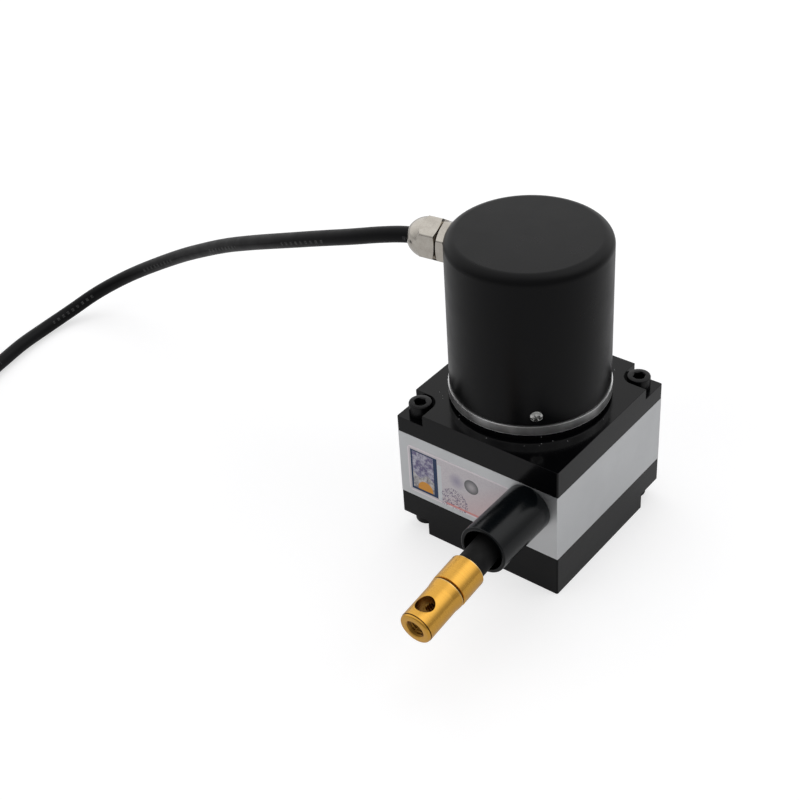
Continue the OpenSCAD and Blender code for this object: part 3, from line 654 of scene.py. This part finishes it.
def tube(points, radius, sides=24, shape=None, core=0):
    """A round solid along a path. Shape gives the share of the radius at an angle and a length.
    Each vertex keeps its length along the path, how far it faces sideways, and its core."""
    bm = bmesh.new()
    layers = [bm.verts.layers.float.new(name) for name in ("core", "along", "facing")]
    rings, length, up = [], 0.0, Vector((0, 0, 1))
    for i, point in enumerate(points):
        heading = (points[min(i + 1, len(points) - 1)] - points[max(i - 1, 0)]).normalized()
        length += (point - points[i - 1]).length if i else 0.0
        up = (up - heading * up.dot(heading)).normalized()
        side = heading.cross(up)
        ring = []
        for k in range(sides):
            angle = math.tau * k / sides
            r = radius * (shape(angle, length) if shape else 1)
            vert = bm.verts.new(point + side * (r * math.cos(angle)) + up * (r * math.sin(angle)))
            for layer, value in zip(layers, (core, length, math.cos(angle))):
                vert[layer] = value
            ring.append(vert)
        rings.append(ring)
    skin(bm, rings)
    face_outwards(bm)
    return bm


def add_block(bm, size, place):
    verts = bmesh.ops.create_cube(bm, size=1)["verts"]
    bmesh.ops.scale(bm, vec=size, verts=verts)
    bmesh.ops.translate(bm, vec=place, verts=verts)


def hexagon(across, angle, turn=0.0):
    """Distance from the middle of a hexagon to its side, in the direction of an angle. Its
    corners are cut off a little inside their full reach of across / sqrt(3)."""
    within = (angle - turn) % (math.tau / 6) - math.tau / 12
    corner = across * 0.566
    return min(across / 2 / math.cos(within), corner)


# Depths of metric threads, as shares of their pitch
SCREW_DEPTH, NUT_DEPTH = 0.6134, 0.54


def threaded(radius, depth, pitch, low, high, angle):
    """The (radius, height) points of a screw thread, for one direction round it. The thread
    fades out over half a turn at both ends."""
    made = []
    points_per_turn = 8
    count = round((high - low) / pitch * points_per_turn)
    for i in range(count + 1):
        z = low + (high - low) * i / count
        phase = (z / pitch - angle / math.tau) % 1
        fade = min(1.0, 2 * (z - low) / pitch, 2 * (high - z) / pitch)
        made.append((radius - depth * fade * abs(2 * phase - 1), z))
    return made


def as_mesh(name, bm):
    mesh = bpy.data.meshes.new(name)
    bm.to_mesh(mesh)
    bm.free()
    return mesh


def cut(bm, *tools, operation="DIFFERENCE"):
    """The mesh after each tool's solid is taken from it, or joined to it by a UNION."""
    def temporary(source):
        made = bpy.data.objects.new("cut", as_mesh("cut", source))
        bpy.context.scene.collection.objects.link(made)
        return made

    work = temporary(bm)
    others = [temporary(tool) for tool in tools]
    for other in others:
        modifier = work.modifiers.new("cut", "BOOLEAN")
        modifier.operation = operation
        modifier.solver = "EXACT"
        modifier.object = other
    bpy.context.view_layer.update()
    result = bmesh.new()
    result.from_object(work, bpy.context.evaluated_depsgraph_get())
    for made in [work, *others]:
        bpy.data.meshes.remove(made.data)
    bmesh.ops.remove_doubles(result, verts=result.verts, dist=1e-6)
    return result


def together(*parts):
    """Several meshes as one."""
    bm = bmesh.new()
    for part in parts:
        mesh = as_mesh("part", part)
        bm.from_mesh(mesh)
        bpy.data.meshes.remove(mesh)
    return bm


def placed(bm, *matrices):
    """One copy of a mesh at each place."""
    copies = [bm.copy() for _ in matrices]
    bm.free()
    for copy, matrix in zip(copies, matrices):
        copy.transform(matrix)
    return together(*copies)


def break_edges(bm, edges, width, clamp=False):
    """Rounds edges off with two narrow faces each, and no wider than fits if clamped."""
    bmesh.ops.bevel(bm, geom=edges, offset=width, segments=2, profile=0.5, affect="EDGES",
                    clamp_overlap=clamp)


def softened(node, width):
    """A copy of a CAD solid with its sharp edges broken, as a deburred part has them."""
    bm = bmesh.new()
    bm.from_mesh(frame["nodes"][node].data)
    bmesh.ops.remove_doubles(bm, verts=bm.verts, dist=1e-6)
    bmesh.ops.dissolve_limit(bm, angle_limit=math.radians(1), verts=bm.verts, edges=bm.edges)
    sharp = [e for e in bm.edges
             if len(e.link_faces) == 2 and e.calc_face_angle() > math.radians(30)]
    break_edges(bm, sharp, width, clamp=True)
    return bm


def add_piece(name, bm, slot, *nodes, body="housing", sharp=32, material=None):
    """A finished piece in the place of its CAD nodes, which rides on their body unless that is
    None. Edges over sharp degrees stay sharp. It has its slot's material if no other is named."""
    mesh = as_mesh(name, bm)
    mesh.shade_smooth()
    mesh.set_sharp_from_angle(angle=math.radians(sharp))
    mesh.materials.append(MATERIALS[material or slot])
    piece = bpy.data.objects.new(name, mesh)
    bpy.context.scene.collection.objects.link(piece)
    normals = piece.modifiers.new("normals", "WEIGHTED_NORMAL")
    normals.keep_sharp = True
    if body:
        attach(piece, body)
    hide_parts(*nodes)
    return piece


# ---------- cable ----------

CABLE_D = 6 * MM
CABLE_LENGTH = 1.5
COIL_R = 33 * MM
COIL_CENTRE = Vector((-0.276, -0.11, 0))
COIL_LOW = 1 * MM
COIL_ROWS = 3
# From inside the cap, out of its gland and down to the coil on the floor
CABLE_ROUTE = [
    (-0.022, -0.0035, 0.1095), (-0.034, -0.0054, 0.1095), (-0.0456, -0.0072, 0.109),
    (-0.057, -0.0088, 0.1063), (-0.072, -0.01, 0.1012), (-0.09, -0.0095, 0.0945),
    (-0.11, -0.0075, 0.0862), (-0.13, -0.0035, 0.077), (-0.15, 0.001, 0.067),
    (-0.17, 0.0055, 0.056), (-0.19, 0.009, 0.0445), (-0.21, 0.0105, 0.0325),
    (-0.228, 0.0085, 0.0215), (-0.242, 0.002, 0.012), (-0.2495, -0.0095, 0.0055),
    (-0.2512, -0.024, 0.0035), (-0.25, -0.0385, 0.0035), (-0.2472, -0.053, 0.0035),
    (-0.2437, -0.067, 0.004), (-0.241, -0.0815, 0.004), (-0.24, -0.096, 0.004),
]
CORE_R = 0.85 * MM


def smooth_path(points, steps):
    """Extra points between the given ones, on a Catmull-Rom curve through them all."""
    made = []
    for i in range(len(points) - 1):
        before = points[max(i - 1, 0)]
        a, b = points[i], points[i + 1]
        after = points[min(i + 2, len(points) - 1)]
        for k in range(steps):
            t = k / steps
            made.append(a * (2 - 5 * t * t + 3 * t ** 3) / 2 + b * (t + 4 * t * t - 3 * t ** 3) / 2
                        + before * (-t + 2 * t * t - t ** 3) / 2 + after * (t ** 3 - t * t) / 2)
    return made + [points[-1]]


def path_length(points):
    return sum((b - a).length for a, b in zip(points, points[1:]))


def eased(share):
    """A share from 0 to 1 that starts and ends gently."""
    return share * share * (3 - 2 * share)


def coil_path(length):
    """Turns up the outer column, then down the inner one. Each turn lies flat for most of the
    way round, and its last fifth goes over to the next one's place."""
    low = COIL_LOW + CABLE_D / 2
    turns = [(COIL_R + CABLE_D / 2, row) for row in range(COIL_ROWS)]
    turns += [(COIL_R - CABLE_D / 2, row) for row in reversed(range(COIL_ROWS))]
    step, crossing_from = math.radians(6), 0.8
    made, angle = [], 0.0
    while path_length(made) < length:
        i = min(int(angle / math.tau), len(turns) - 1)
        following = turns[min(i + 1, len(turns) - 1)]
        within = angle / math.tau - i
        share = eased(max(0.0, (within - crossing_from) / (1 - crossing_from)))
        r, row = (a * (1 - share) + b * share for a, b in zip(turns[i], following))
        made.append(COIL_CENTRE
                    + Vector((r * math.cos(angle), -r * math.sin(angle), low + row * CABLE_D)))
        angle += step
    return made


def lay_of_cores(angle, length):
    """The jacket follows the twist of the cores a little."""
    depth, lay = 0.006, 38 * MM
    return 1 - depth + depth * math.cos(3 * angle - math.tau * length / lay)


def add_tie():
    """A nylon tie round the turns, with its head and cut tail inside the coil."""
    low, high = COIL_LOW, COIL_LOW + COIL_ROWS * CABLE_D
    inner, outer = COIL_R - CABLE_D, COIL_R + CABLE_D
    width, gap, thick = 4.6 * MM, 0.2 * MM, 0.8 * MM

    def band(spread, corner):
        return rounded_box(inner - spread, outer + spread, low - spread, high + spread, corner, 8)

    inside, outside = band(gap, 2.2 * MM), band(gap + thick, 3 * MM)
    bm = bmesh.new()
    rings = [[bm.verts.new((x, side * width / 2, z)) for x, z in outline]
             for outline, side in ((inside, -1), (outside, -1), (outside, 1), (inside, 1))]
    skin(bm, rings, loop=True)
    head = Vector((inner - gap - thick - 1.9 * MM, 0, (low + high) / 2))
    add_block(bm, (4 * MM, 6 * MM, 5 * MM), head)
    add_block(bm, (1.1 * MM, width, 4 * MM), head + Vector((0, 0, 4 * MM)))
    face_outwards(bm)
    sharp = [e for e in bm.edges if e.calc_face_angle() > math.radians(40)]
    break_edges(bm, sharp, 0.2 * MM)
    tie_angle = math.radians(200)
    bm.transform(Matrix.Translation(COIL_CENTRE) @ Matrix.Rotation(tie_angle, 4, "Z"))
    return add_piece("nylon_tie", bm, "black_plastic", "cable_tie", material="nylon")


def add_leads(end):
    """Five cores fan out of the jacket's end along the floor inside the coil, their tips
    stripped."""
    outwards = end - COIL_CENTRE
    first, reach = math.atan2(outwards.y, outwards.x), math.hypot(outwards.x, outwards.y)
    lying_z = CORE_R + 0.2 * MM
    ahead, sweep, inwards, tip_r = 0.12, 1.25, 11 * MM, CORE_R * 0.55
    steps, sleeved = 30, 24
    cores = []
    for i in range(CORES):
        spread = 2 * i / (CORES - 1) - 1
        points = []
        for k in range(steps + 1):
            t = k / sleeved
            angle = first + ahead - sweep * t
            r = reach - inwards * t * t + spread * (1.6 + 5 * t * t) * MM
            z = end.z + (lying_z - end.z) * eased(min(1.0, t))
            points.append(COIL_CENTRE + Vector((r * math.cos(angle), r * math.sin(angle), z)))
        cores.append(tube(points[:sleeved + 1], CORE_R, 12, core=i))
        cores.append(tube(points[sleeved:], tip_r, 10, core=CORES))
    return add_piece("bare_leads", together(*cores), "core_colours", "cable_leads",
                     material="bare_leads")


def add_cable():
    free = smooth_path([Vector(p) for p in CABLE_ROUTE], 6)
    path = free + coil_path(CABLE_LENGTH - path_length(free))
    cable = add_piece("cable_run", tube(path, CABLE_D / 2, 28, lay_of_cores), "cable_jacket",
                      "cable", "cable_coil")
    tie = add_tie()
    leads = add_leads(path[-1])


add_cable()


# ---------- body ----------

def add_plates():
    """The three slices of the body and the encoder's ring, with their edges broken."""
    for name, node, edge, slot, material in (
            ("bottom_plate", "base_plate", 0.3, "black_anodised", "black_anodised"),
            ("middle_block", "body_block", 0.12, "clear_anodised", "clear_anodised"),
            ("upper_plate", "top_plate", 0.25, "black_anodised", "upper_plate"),
            ("encoder_ring", "encoder_flange", 0.3, "bare_aluminium", "turned_ring")):
        add_piece(name, softened(node, edge * MM), slot, node, material=material)


# The M5 socket screws, in millimetres
M5_R, M5_PITCH, M5_LENGTH = 2.5, 0.8, 16.0
M5_HEAD_R, M5_HEAD_H, M5_KEY = 4.25, 5.0, 4.0


def m5_screw():
    """A socket head screw with a knurled head, head upwards, its head's underside at 0."""
    head_r, head_h, depth = M5_HEAD_R, M5_HEAD_H, SCREW_DEPTH * M5_PITCH
    ridges, ridge = 48, 0.06

    def outline(angle):
        knurl = head_r - ridge + ridge * math.cos(ridges * angle)
        mouth, socket = M5_KEY / math.sqrt(3) + 0.15, hexagon(M5_KEY, angle)
        return [
            (0, -M5_LENGTH), (M5_R - depth, -M5_LENGTH),
            *threaded(M5_R, depth, M5_PITCH, -M5_LENGTH + 0.4, -2, angle),
            (M5_R, -0.4), (M5_R + 0.3, 0), (head_r - 0.2, 0), (knurl, 0.2), (knurl, head_h - 0.9),
            (head_r, head_h - 0.7), (head_r, head_h - 0.45), (head_r - 0.13, head_h - 0.13),
            (head_r - 0.45, head_h), (mouth, head_h), (socket, head_h - 0.3),
            (socket, head_h * 0.45), (0, head_h * 0.3),
        ]
    return turned(outline)


def add_body_screws():
    """Three screws from above and three from below, each turned its own way."""
    top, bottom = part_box("top_screws")[1] / MM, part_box("base_screws")[0] / MM
    at = top.x - M5_HEAD_R
    corners_and_turns = [(-at, -at, 0.3), (-at, at, 1.1), (at, at, 0.75)]
    for name, node, z, flip in (("upper_screws", "top_screws", top.z - M5_HEAD_H, 0),
                                ("lower_screws", "base_screws", bottom.z + M5_HEAD_H, math.pi)):
        places = [MILLI @ Matrix.Translation((x, y, z)) @ Matrix.Rotation(flip, 4, "X")
                  @ Matrix.Rotation(turn, 4, "Z") for x, y, turn in corners_and_turns]
        add_piece(name, placed(m5_screw(), *places), "black_screw", node)


def add_label():
    """A thin sticker with rounded corners, cut out round the outlet tube."""
    low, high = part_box("label")
    corner, clearance = 1.5 * MM, 0.3
    outline = rounded_box(low.x, high.x, low.z, high.z, corner, 6)
    bm = bmesh.new()
    skin(bm, [[bm.verts.new((x, y, z)) for x, z in outline] for y in (high.y, low.y)])
    face_outwards(bm)
    bm = cut(bm, placed(peg(tube_r / MM + clearance, -2, 2, 144), AT_OUTLET))
    rim = [e for e in bm.edges if all(abs(v.co.y - low.y) < 1e-7 for v in e.verts)]
    break_edges(bm, rim, 0.06 * MM)
    face_outwards(bm)
    add_piece("sticker", bm, "sticker", "label")


# ---------- encoder cap ----------

# The cap's M2.5 pan head screws, in millimetres: their height above the cap's rim, and the
# distance of the heads' seats from the cap's axis
CAP_SCREW_UP, CAP_SCREW_SEAT = 4, cap_r / MM - 0.8
CAP_SCREW_R, CAP_SCREW_LENGTH, PAN_R, PAN_H = 1.25, 6.2, 2.25, 1.3


def add_cap():
    """The turned cap, with flats milled for the gland and for the heads of its screws."""
    r, height = cap_r / MM, (cap_high.z - cap_bottom) / MM
    wall, rounding = 2.5, 3.9
    inside = r - wall
    pad_r, thread_r, flat_r, flat_at, clearance = 8, 5.95, 7.6, 28, 0.1
    shell = turned(rounded([
        (0, height, 0), (0, height - wall, 0), (inside, height - wall, 1.5), (inside, 0, 0.2),
        (r, 0, 0.35), (r, height, rounding)], 12), 240)
    gland = Matrix.Translation((0, 0, (gland_z - cap_bottom) / MM)) @ turned_to(gland_angle)
    shell = cut(shell, placed(peg(pad_r, 20, inside + 0.8), gland), operation="UNION")
    holes = [placed(peg(thread_r, 15, 33), gland), placed(peg(flat_r, flat_at, 33, 96), gland)]
    for angle in cap_screw_angles:
        at_screw = Matrix.Translation((0, 0, CAP_SCREW_UP)) @ turned_to(angle)
        holes.append(placed(peg(CAP_SCREW_R + clearance, inside - 1, r + 2), at_screw))
        holes.append(placed(peg(PAN_R + clearance, CAP_SCREW_SEAT, r + 2), at_screw))
    shell = placed(cut(shell, *holes), AT_CAP)
    add_piece("cap_shell", shell, "black_anodised", "cap", material="cap_black")


def recess_wing(angle, reach, width, top, depth):
    """One tapered bar of a cross recess, as a solid to cut with."""
    bm = bmesh.new()
    turn = Matrix.Rotation(angle, 3, "Z")
    skin(bm, [[bm.verts.new(turn @ Vector((x * reach * share, y * width / 2, z)))
               for x, y in ((-1, -1), (1, -1), (1, 1), (-1, 1))]
              for z, share in ((top + 0.5, 1.0), (top, 1.0), (top - depth, 0.45))])
    face_outwards(bm)
    return bm


def add_cap_screws():
    """Pan head screws with a cross recess, each turned its own way."""
    r, seat, tip = CAP_SCREW_R, CAP_SCREW_SEAT, CAP_SCREW_SEAT - CAP_SCREW_LENGTH
    head = rounded([(0, seat + PAN_H + 0.05, 0), (0, tip, 0), (r, tip, 0.2), (r, seat, 0),
                    (PAN_R, seat, 0.1), (PAN_R, seat + 0.75, 0.3),
                    (PAN_R - 0.75, seat + PAN_H, 0.5)], 4)
    wings = [recess_wing(angle, reach=1.4, width=0.45, top=seat + PAN_H, depth=0.9)
             for angle in (0.01, math.pi / 2)]
    pan = cut(turned(head, 64), *wings)
    places = [AT_CAP @ Matrix.Translation((0, 0, CAP_SCREW_UP)) @ turned_to(angle)
              @ Matrix.Rotation(turn, 4, "Z")
              for angle, turn in zip(cap_screw_angles, (0.2, 0.65, 0.4))]
    add_piece("cross_head_screws", placed(pan, *places), "zinc_screw", "cap_screws", sharp=40)


# ---------- cable gland ----------

def hexagon_end(across, r, height, way):
    """Outline from a hexagon's end, inwards, where it is turned down at 20 degrees."""
    slant = (r - across / 2) * math.tan(math.radians(20))
    return [(across / 2 - 0.2, height), (across / 2, height + way * 0.08),
            (r, height + way * (0.08 + slant))]


def add_gland():
    """Nickel-plated gland: a threaded body with a hexagon, and a clamping nut with a dome. Its
    heights are millimetres from the cap's axis."""
    body_hex, body_turn = 14.0, math.radians(-2)
    nut_hex, nut_turn = 14.6, math.radians(6)
    seat, gap_low, gap_high, shoulder, mouth = 29, 32.5, 32.85, 39.9, 45.3
    bore_r, start, neck_end = 3.6, 20, 40

    def body_outline(angle):
        r = hexagon(body_hex, angle, body_turn)
        thread = threaded(5.9, 0.8, 1.5, start + 0.4, seat - 0.4, angle)
        return [(bore_r, start), (5.2, start), *thread, (5.6, seat - 0.2), (5.6, seat),
                *hexagon_end(body_hex, r, seat, 1),
                *reversed(hexagon_end(body_hex, r, gap_low, -1)),
                (5.8, gap_low), (5.8, neck_end), (5, neck_end), (5, 35), (bore_r, 34.4)]

    dome_r, mouth_r, steps = 7.4, 4.2, 12
    first, last = math.acos(nut_hex / 2 / dome_r), math.acos(mouth_r / dome_r)
    stretch = (mouth - shoulder) / (math.sin(last) - math.sin(first))
    dome = [(dome_r * math.cos(lift), shoulder + stretch * (math.sin(lift) - math.sin(first)))
            for lift in (first + (last - first) * k / steps for k in range(steps + 1))]

    def nut_outline(angle):
        r = hexagon(nut_hex, angle, nut_turn)
        drop = (r - nut_hex / 2) * math.tan(math.radians(52))
        return [(5.85, gap_high), *hexagon_end(nut_hex, r, gap_high, 1), (r, shoulder - drop),
                *dome, (3.75, mouth + 0.2), (3.4, mouth + 0.15), (3.25, mouth - 0.1),
                (3.25, 43.2), (4.2, 42.4), (5.2, 40.6), (5.85, 40.4)]

    for name, node, outline, turn in (("gland_socket", "gland_body", body_outline, body_turn),
                                      ("gland_clamp", "gland_nut", nut_outline, nut_turn)):
        add_piece(name, placed(turned(outline, 288, turn), AT_GLAND), "nickel", node, sharp=22)


# ---------- wire outlet and end fitting ----------

def add_outlet_tube():
    """The black tube that guards the wire, with a rounded mouth and a guide web inside."""
    r, length = tube_r / MM, tube_length / MM
    wire_hole_r, spigot_r, spigot_l, bore_r, web_at = 3.2, 7, 10, 7.6, 10.4
    outline = rounded([
        (wire_hole_r, -spigot_l, 0.2), (spigot_r, -spigot_l, 0.4), (spigot_r, 0, 0), (r, 0, 0.15),
        (r, length, 0.55), (bore_r, length, 0.5), (bore_r, web_at, 0.8),
        (wire_hole_r, web_at, 0.2)], 6)
    add_piece("guide_tube", placed(turned(outline, 144), AT_OUTLET), "black_plastic",
              "outlet_tube")


def add_buffer():
    """The soft rubber sleeve that the fitting lands on."""
    hole_r, r, start = 1.75, 5.3, -6.5
    outline = rounded([(hole_r, start, 0), (4.4, start, 0.5), (r, -1.5, 1.5),
                       (r, FITTING_REAR, 0.35), (hole_r, FITTING_REAR, 0)], 5)
    add_piece("buffer_sleeve", placed(turned(outline), AT_FITTING), "black_rubber",
              "rubber_buffer", body="fitting")


def add_end_fitting():
    """The turned fitting: a barrel, a groove, a slimmer nose, a cross hole and an M6 thread."""
    rear, front, groove, line = FITTING_REAR, FITTING_FRONT, GROOVE_AT, LINE_AT
    barrel_r, cross_r, cross_at, m6_r, m6_pitch = 6.55, 3.4, 40.8, 3.0, 1.0
    edge = [(barrel_r - 0.3, rear), (barrel_r - 0.06, rear + 0.06), (barrel_r, rear + 0.3)]
    neck = [(barrel_r, groove - 0.45), (6.33, groove - 0.38), (6.0, groove - 0.2),
            (5.95, groove), (6.0, groove + 0.2), (6.33, groove + 0.38), (6.42, groove + 0.45)]
    nose = [(6.42, groove + 0.9), (6.36, groove + 1.5), (6.14, groove + 3.3),
            (NOSE_R, groove + 3.8), (NOSE_R, line - 0.2), (NOSE_R - 0.25, line - 0.1),
            (NOSE_R - 0.25, line + 0.1), (NOSE_R - 0.1, line + 0.2)]
    tip = [(NOSE_R - 0.9 + 0.8 * math.cos(a), front - 0.85 + 0.85 * math.sin(a))
           for a in (math.radians(15 * k) for k in range(1, 7))]

    def outline(angle):
        wire_end = [(0, rear + 8), (2.2, rear + 8), (2.2, rear + 0.3), (2.5, rear)]
        thread = threaded(m6_r, NUT_DEPTH * m6_pitch, m6_pitch, rear + 16, front - 0.7, angle)
        return [*wire_end, *edge, *neck, *nose, *tip, (m6_r + 0.7, front), (m6_r, front - 0.7),
                *reversed(thread), (2.4, rear + 15.6), (0, rear + 14.2)]

    sideways = Matrix.Translation((0, 0, cross_at)) @ Matrix.Rotation(math.pi / 2, 4, "X")
    bm = cut(turned(outline, 128), placed(peg(cross_r, -12, 12, 96), sideways))

    def on_hole_rim(vert, near=0.02):
        x, y, z = vert.co
        return (abs(math.hypot(x, z - cross_at) - cross_r) < near
                and abs(math.hypot(x, y) - NOSE_R) < near)

    rim = [e for e in bm.edges if all(on_hole_rim(v) for v in e.verts)]
    break_edges(bm, rim, 0.16, clamp=True)
    add_piece("gold_fitting", placed(bm, AT_FITTING), "gold_anodised", "end_fitting",
              body="fitting", sharp=28)


def add_wire():
    """The wire that is pulled out: one end stays in the body, the other follows the fitting.
    Inside the body it starts clear of the drum's turns, which would cut it as they turn."""
    low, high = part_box("wire")
    steps, clear_of_drum = 60, 9 * MM
    start = high.y - clear_of_drum

    def on_line(y):
        return Vector((wire_line.x, y, wire_line.z))

    points = [on_line(start + (low.y - start) * i / steps) for i in range(steps + 1)]
    wire = add_piece("steel_wire", tube(points, radius_of("wire"), 20), "steel_rope", "wire",
                     body=None)
    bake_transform(wire)


add_plates()
add_body_screws()
add_label()
add_cap()
add_cap_screws()
add_gland()
add_outlet_tube()
add_buffer()
add_end_fitting()
add_wire()


# ---------- stage ----------

TOWARDS_BACK = Vector((-0.5, 0.6, 0.6)).normalized()
TOWARDS_WINDOW = Vector((0.45, 0.4, 0.8)).normalized()
LAMP_TARGET = Vector((0, 0, 0.05))


def add_floor():
    """A white floor that keeps the object's shadow and has no edge to the eye: it glows less
    round the object than farther off, where it is as white as the background."""
    bm = bmesh.new()
    bmesh.ops.create_grid(bm, x_segments=1, y_segments=1, size=4)
    mesh = as_mesh("floor", bm)
    floor = bpy.data.objects.new("floor", mesh)
    floor.location.z = base_low.z
    s = Shader("floor", base_color=(0.5, 0.5, 0.5), roughness=1.0, specular_ior_level=0.0)
    direct, glossy = s.seen_rays()
    x, y, _ = s.axes()
    near, far, near_glow, gloss_glow = 0.5, 1.5, 0.62, 0.2
    glow = s.ramp(s.distance(x, y), near, far, near_glow, 1.0)
    s.set(emission_color=(1, 1, 1),
          emission_strength=s.larger(s.times(direct, glow), s.times(glossy, gloss_glow)))
    mesh.materials.append(MATERIALS["floor"])
    bpy.context.scene.collection.objects.link(floor)


def add_world():
    """White to the camera. In gloss the room is white at the back, with one brighter window, and
    greyer in front. Its light is a soft grey."""
    world = bpy.data.worlds.new("studio")
    world.use_nodes = True
    world.node_tree.nodes.clear()
    t = Tree(world.node_tree)
    direction = t.node("ShaderNodeTexCoord").outputs["Generated"]

    def brightness(way, low, high, out_low, out_high):
        """Rises from out_low to out_high as the direction turns towards a way."""
        inputs = {0: direction, 1: way}
        towards = t.node("ShaderNodeVectorMath", inputs, operation="DOT_PRODUCT").outputs["Value"]
        return t.ramp(towards, low, high, out_low, out_high, interpolation_type="SMOOTHSTEP")

    def background(colour, strength=1.0):
        inputs = {"Color": colour, "Strength": strength}
        return t.node("ShaderNodeBackground", inputs).outputs[0]

    def choose(share, a, b):
        return t.node("ShaderNodeMixShader", {0: share, 1: a, 2: b}).outputs[0]

    direct, glossy = t.seen_rays()
    white, grey = (1, 1, 1), (0.4, 0.4, 0.41)
    room = background(white, t.plus(brightness(TOWARDS_BACK, -0.3, 0.8, 0.35, 1.0),
                                    brightness(TOWARDS_WINDOW, 0.78, 1.0, 0.0, 0.5)))
    lit = choose(glossy, background(grey), room)
    t.node("ShaderNodeOutputWorld", {0: choose(direct, lit, background(white))})
    bpy.context.scene.world = world


def add_softbox(name, place, size, brightness):
    """A square lamp that is equally bright at any size. Gloss shows the room and not the lamp."""
    data = bpy.data.lights.new(name, "AREA")
    data.size = size
    data.energy = brightness * math.pi * size * size
    lamp = bpy.data.objects.new(name, data)
    lamp.visible_glossy = False
    lamp.location = place
    lamp.rotation_euler = (LAMP_TARGET - Vector(place)).to_track_quat("-Z", "Y").to_euler()
    bpy.context.scene.collection.objects.link(lamp)


add_floor()
add_world()
add_softbox("key", (-0.35, 0.45, 1.35), 1.5, 1.1)
add_softbox("right", (1.0, 0.5, 0.8), 1.0, 1.1)
add_softbox("front", (-0.5, -1.2, 0.8), 1.2, 1.2)

bpy.context.scene.view_settings.view_transform = "Standard"
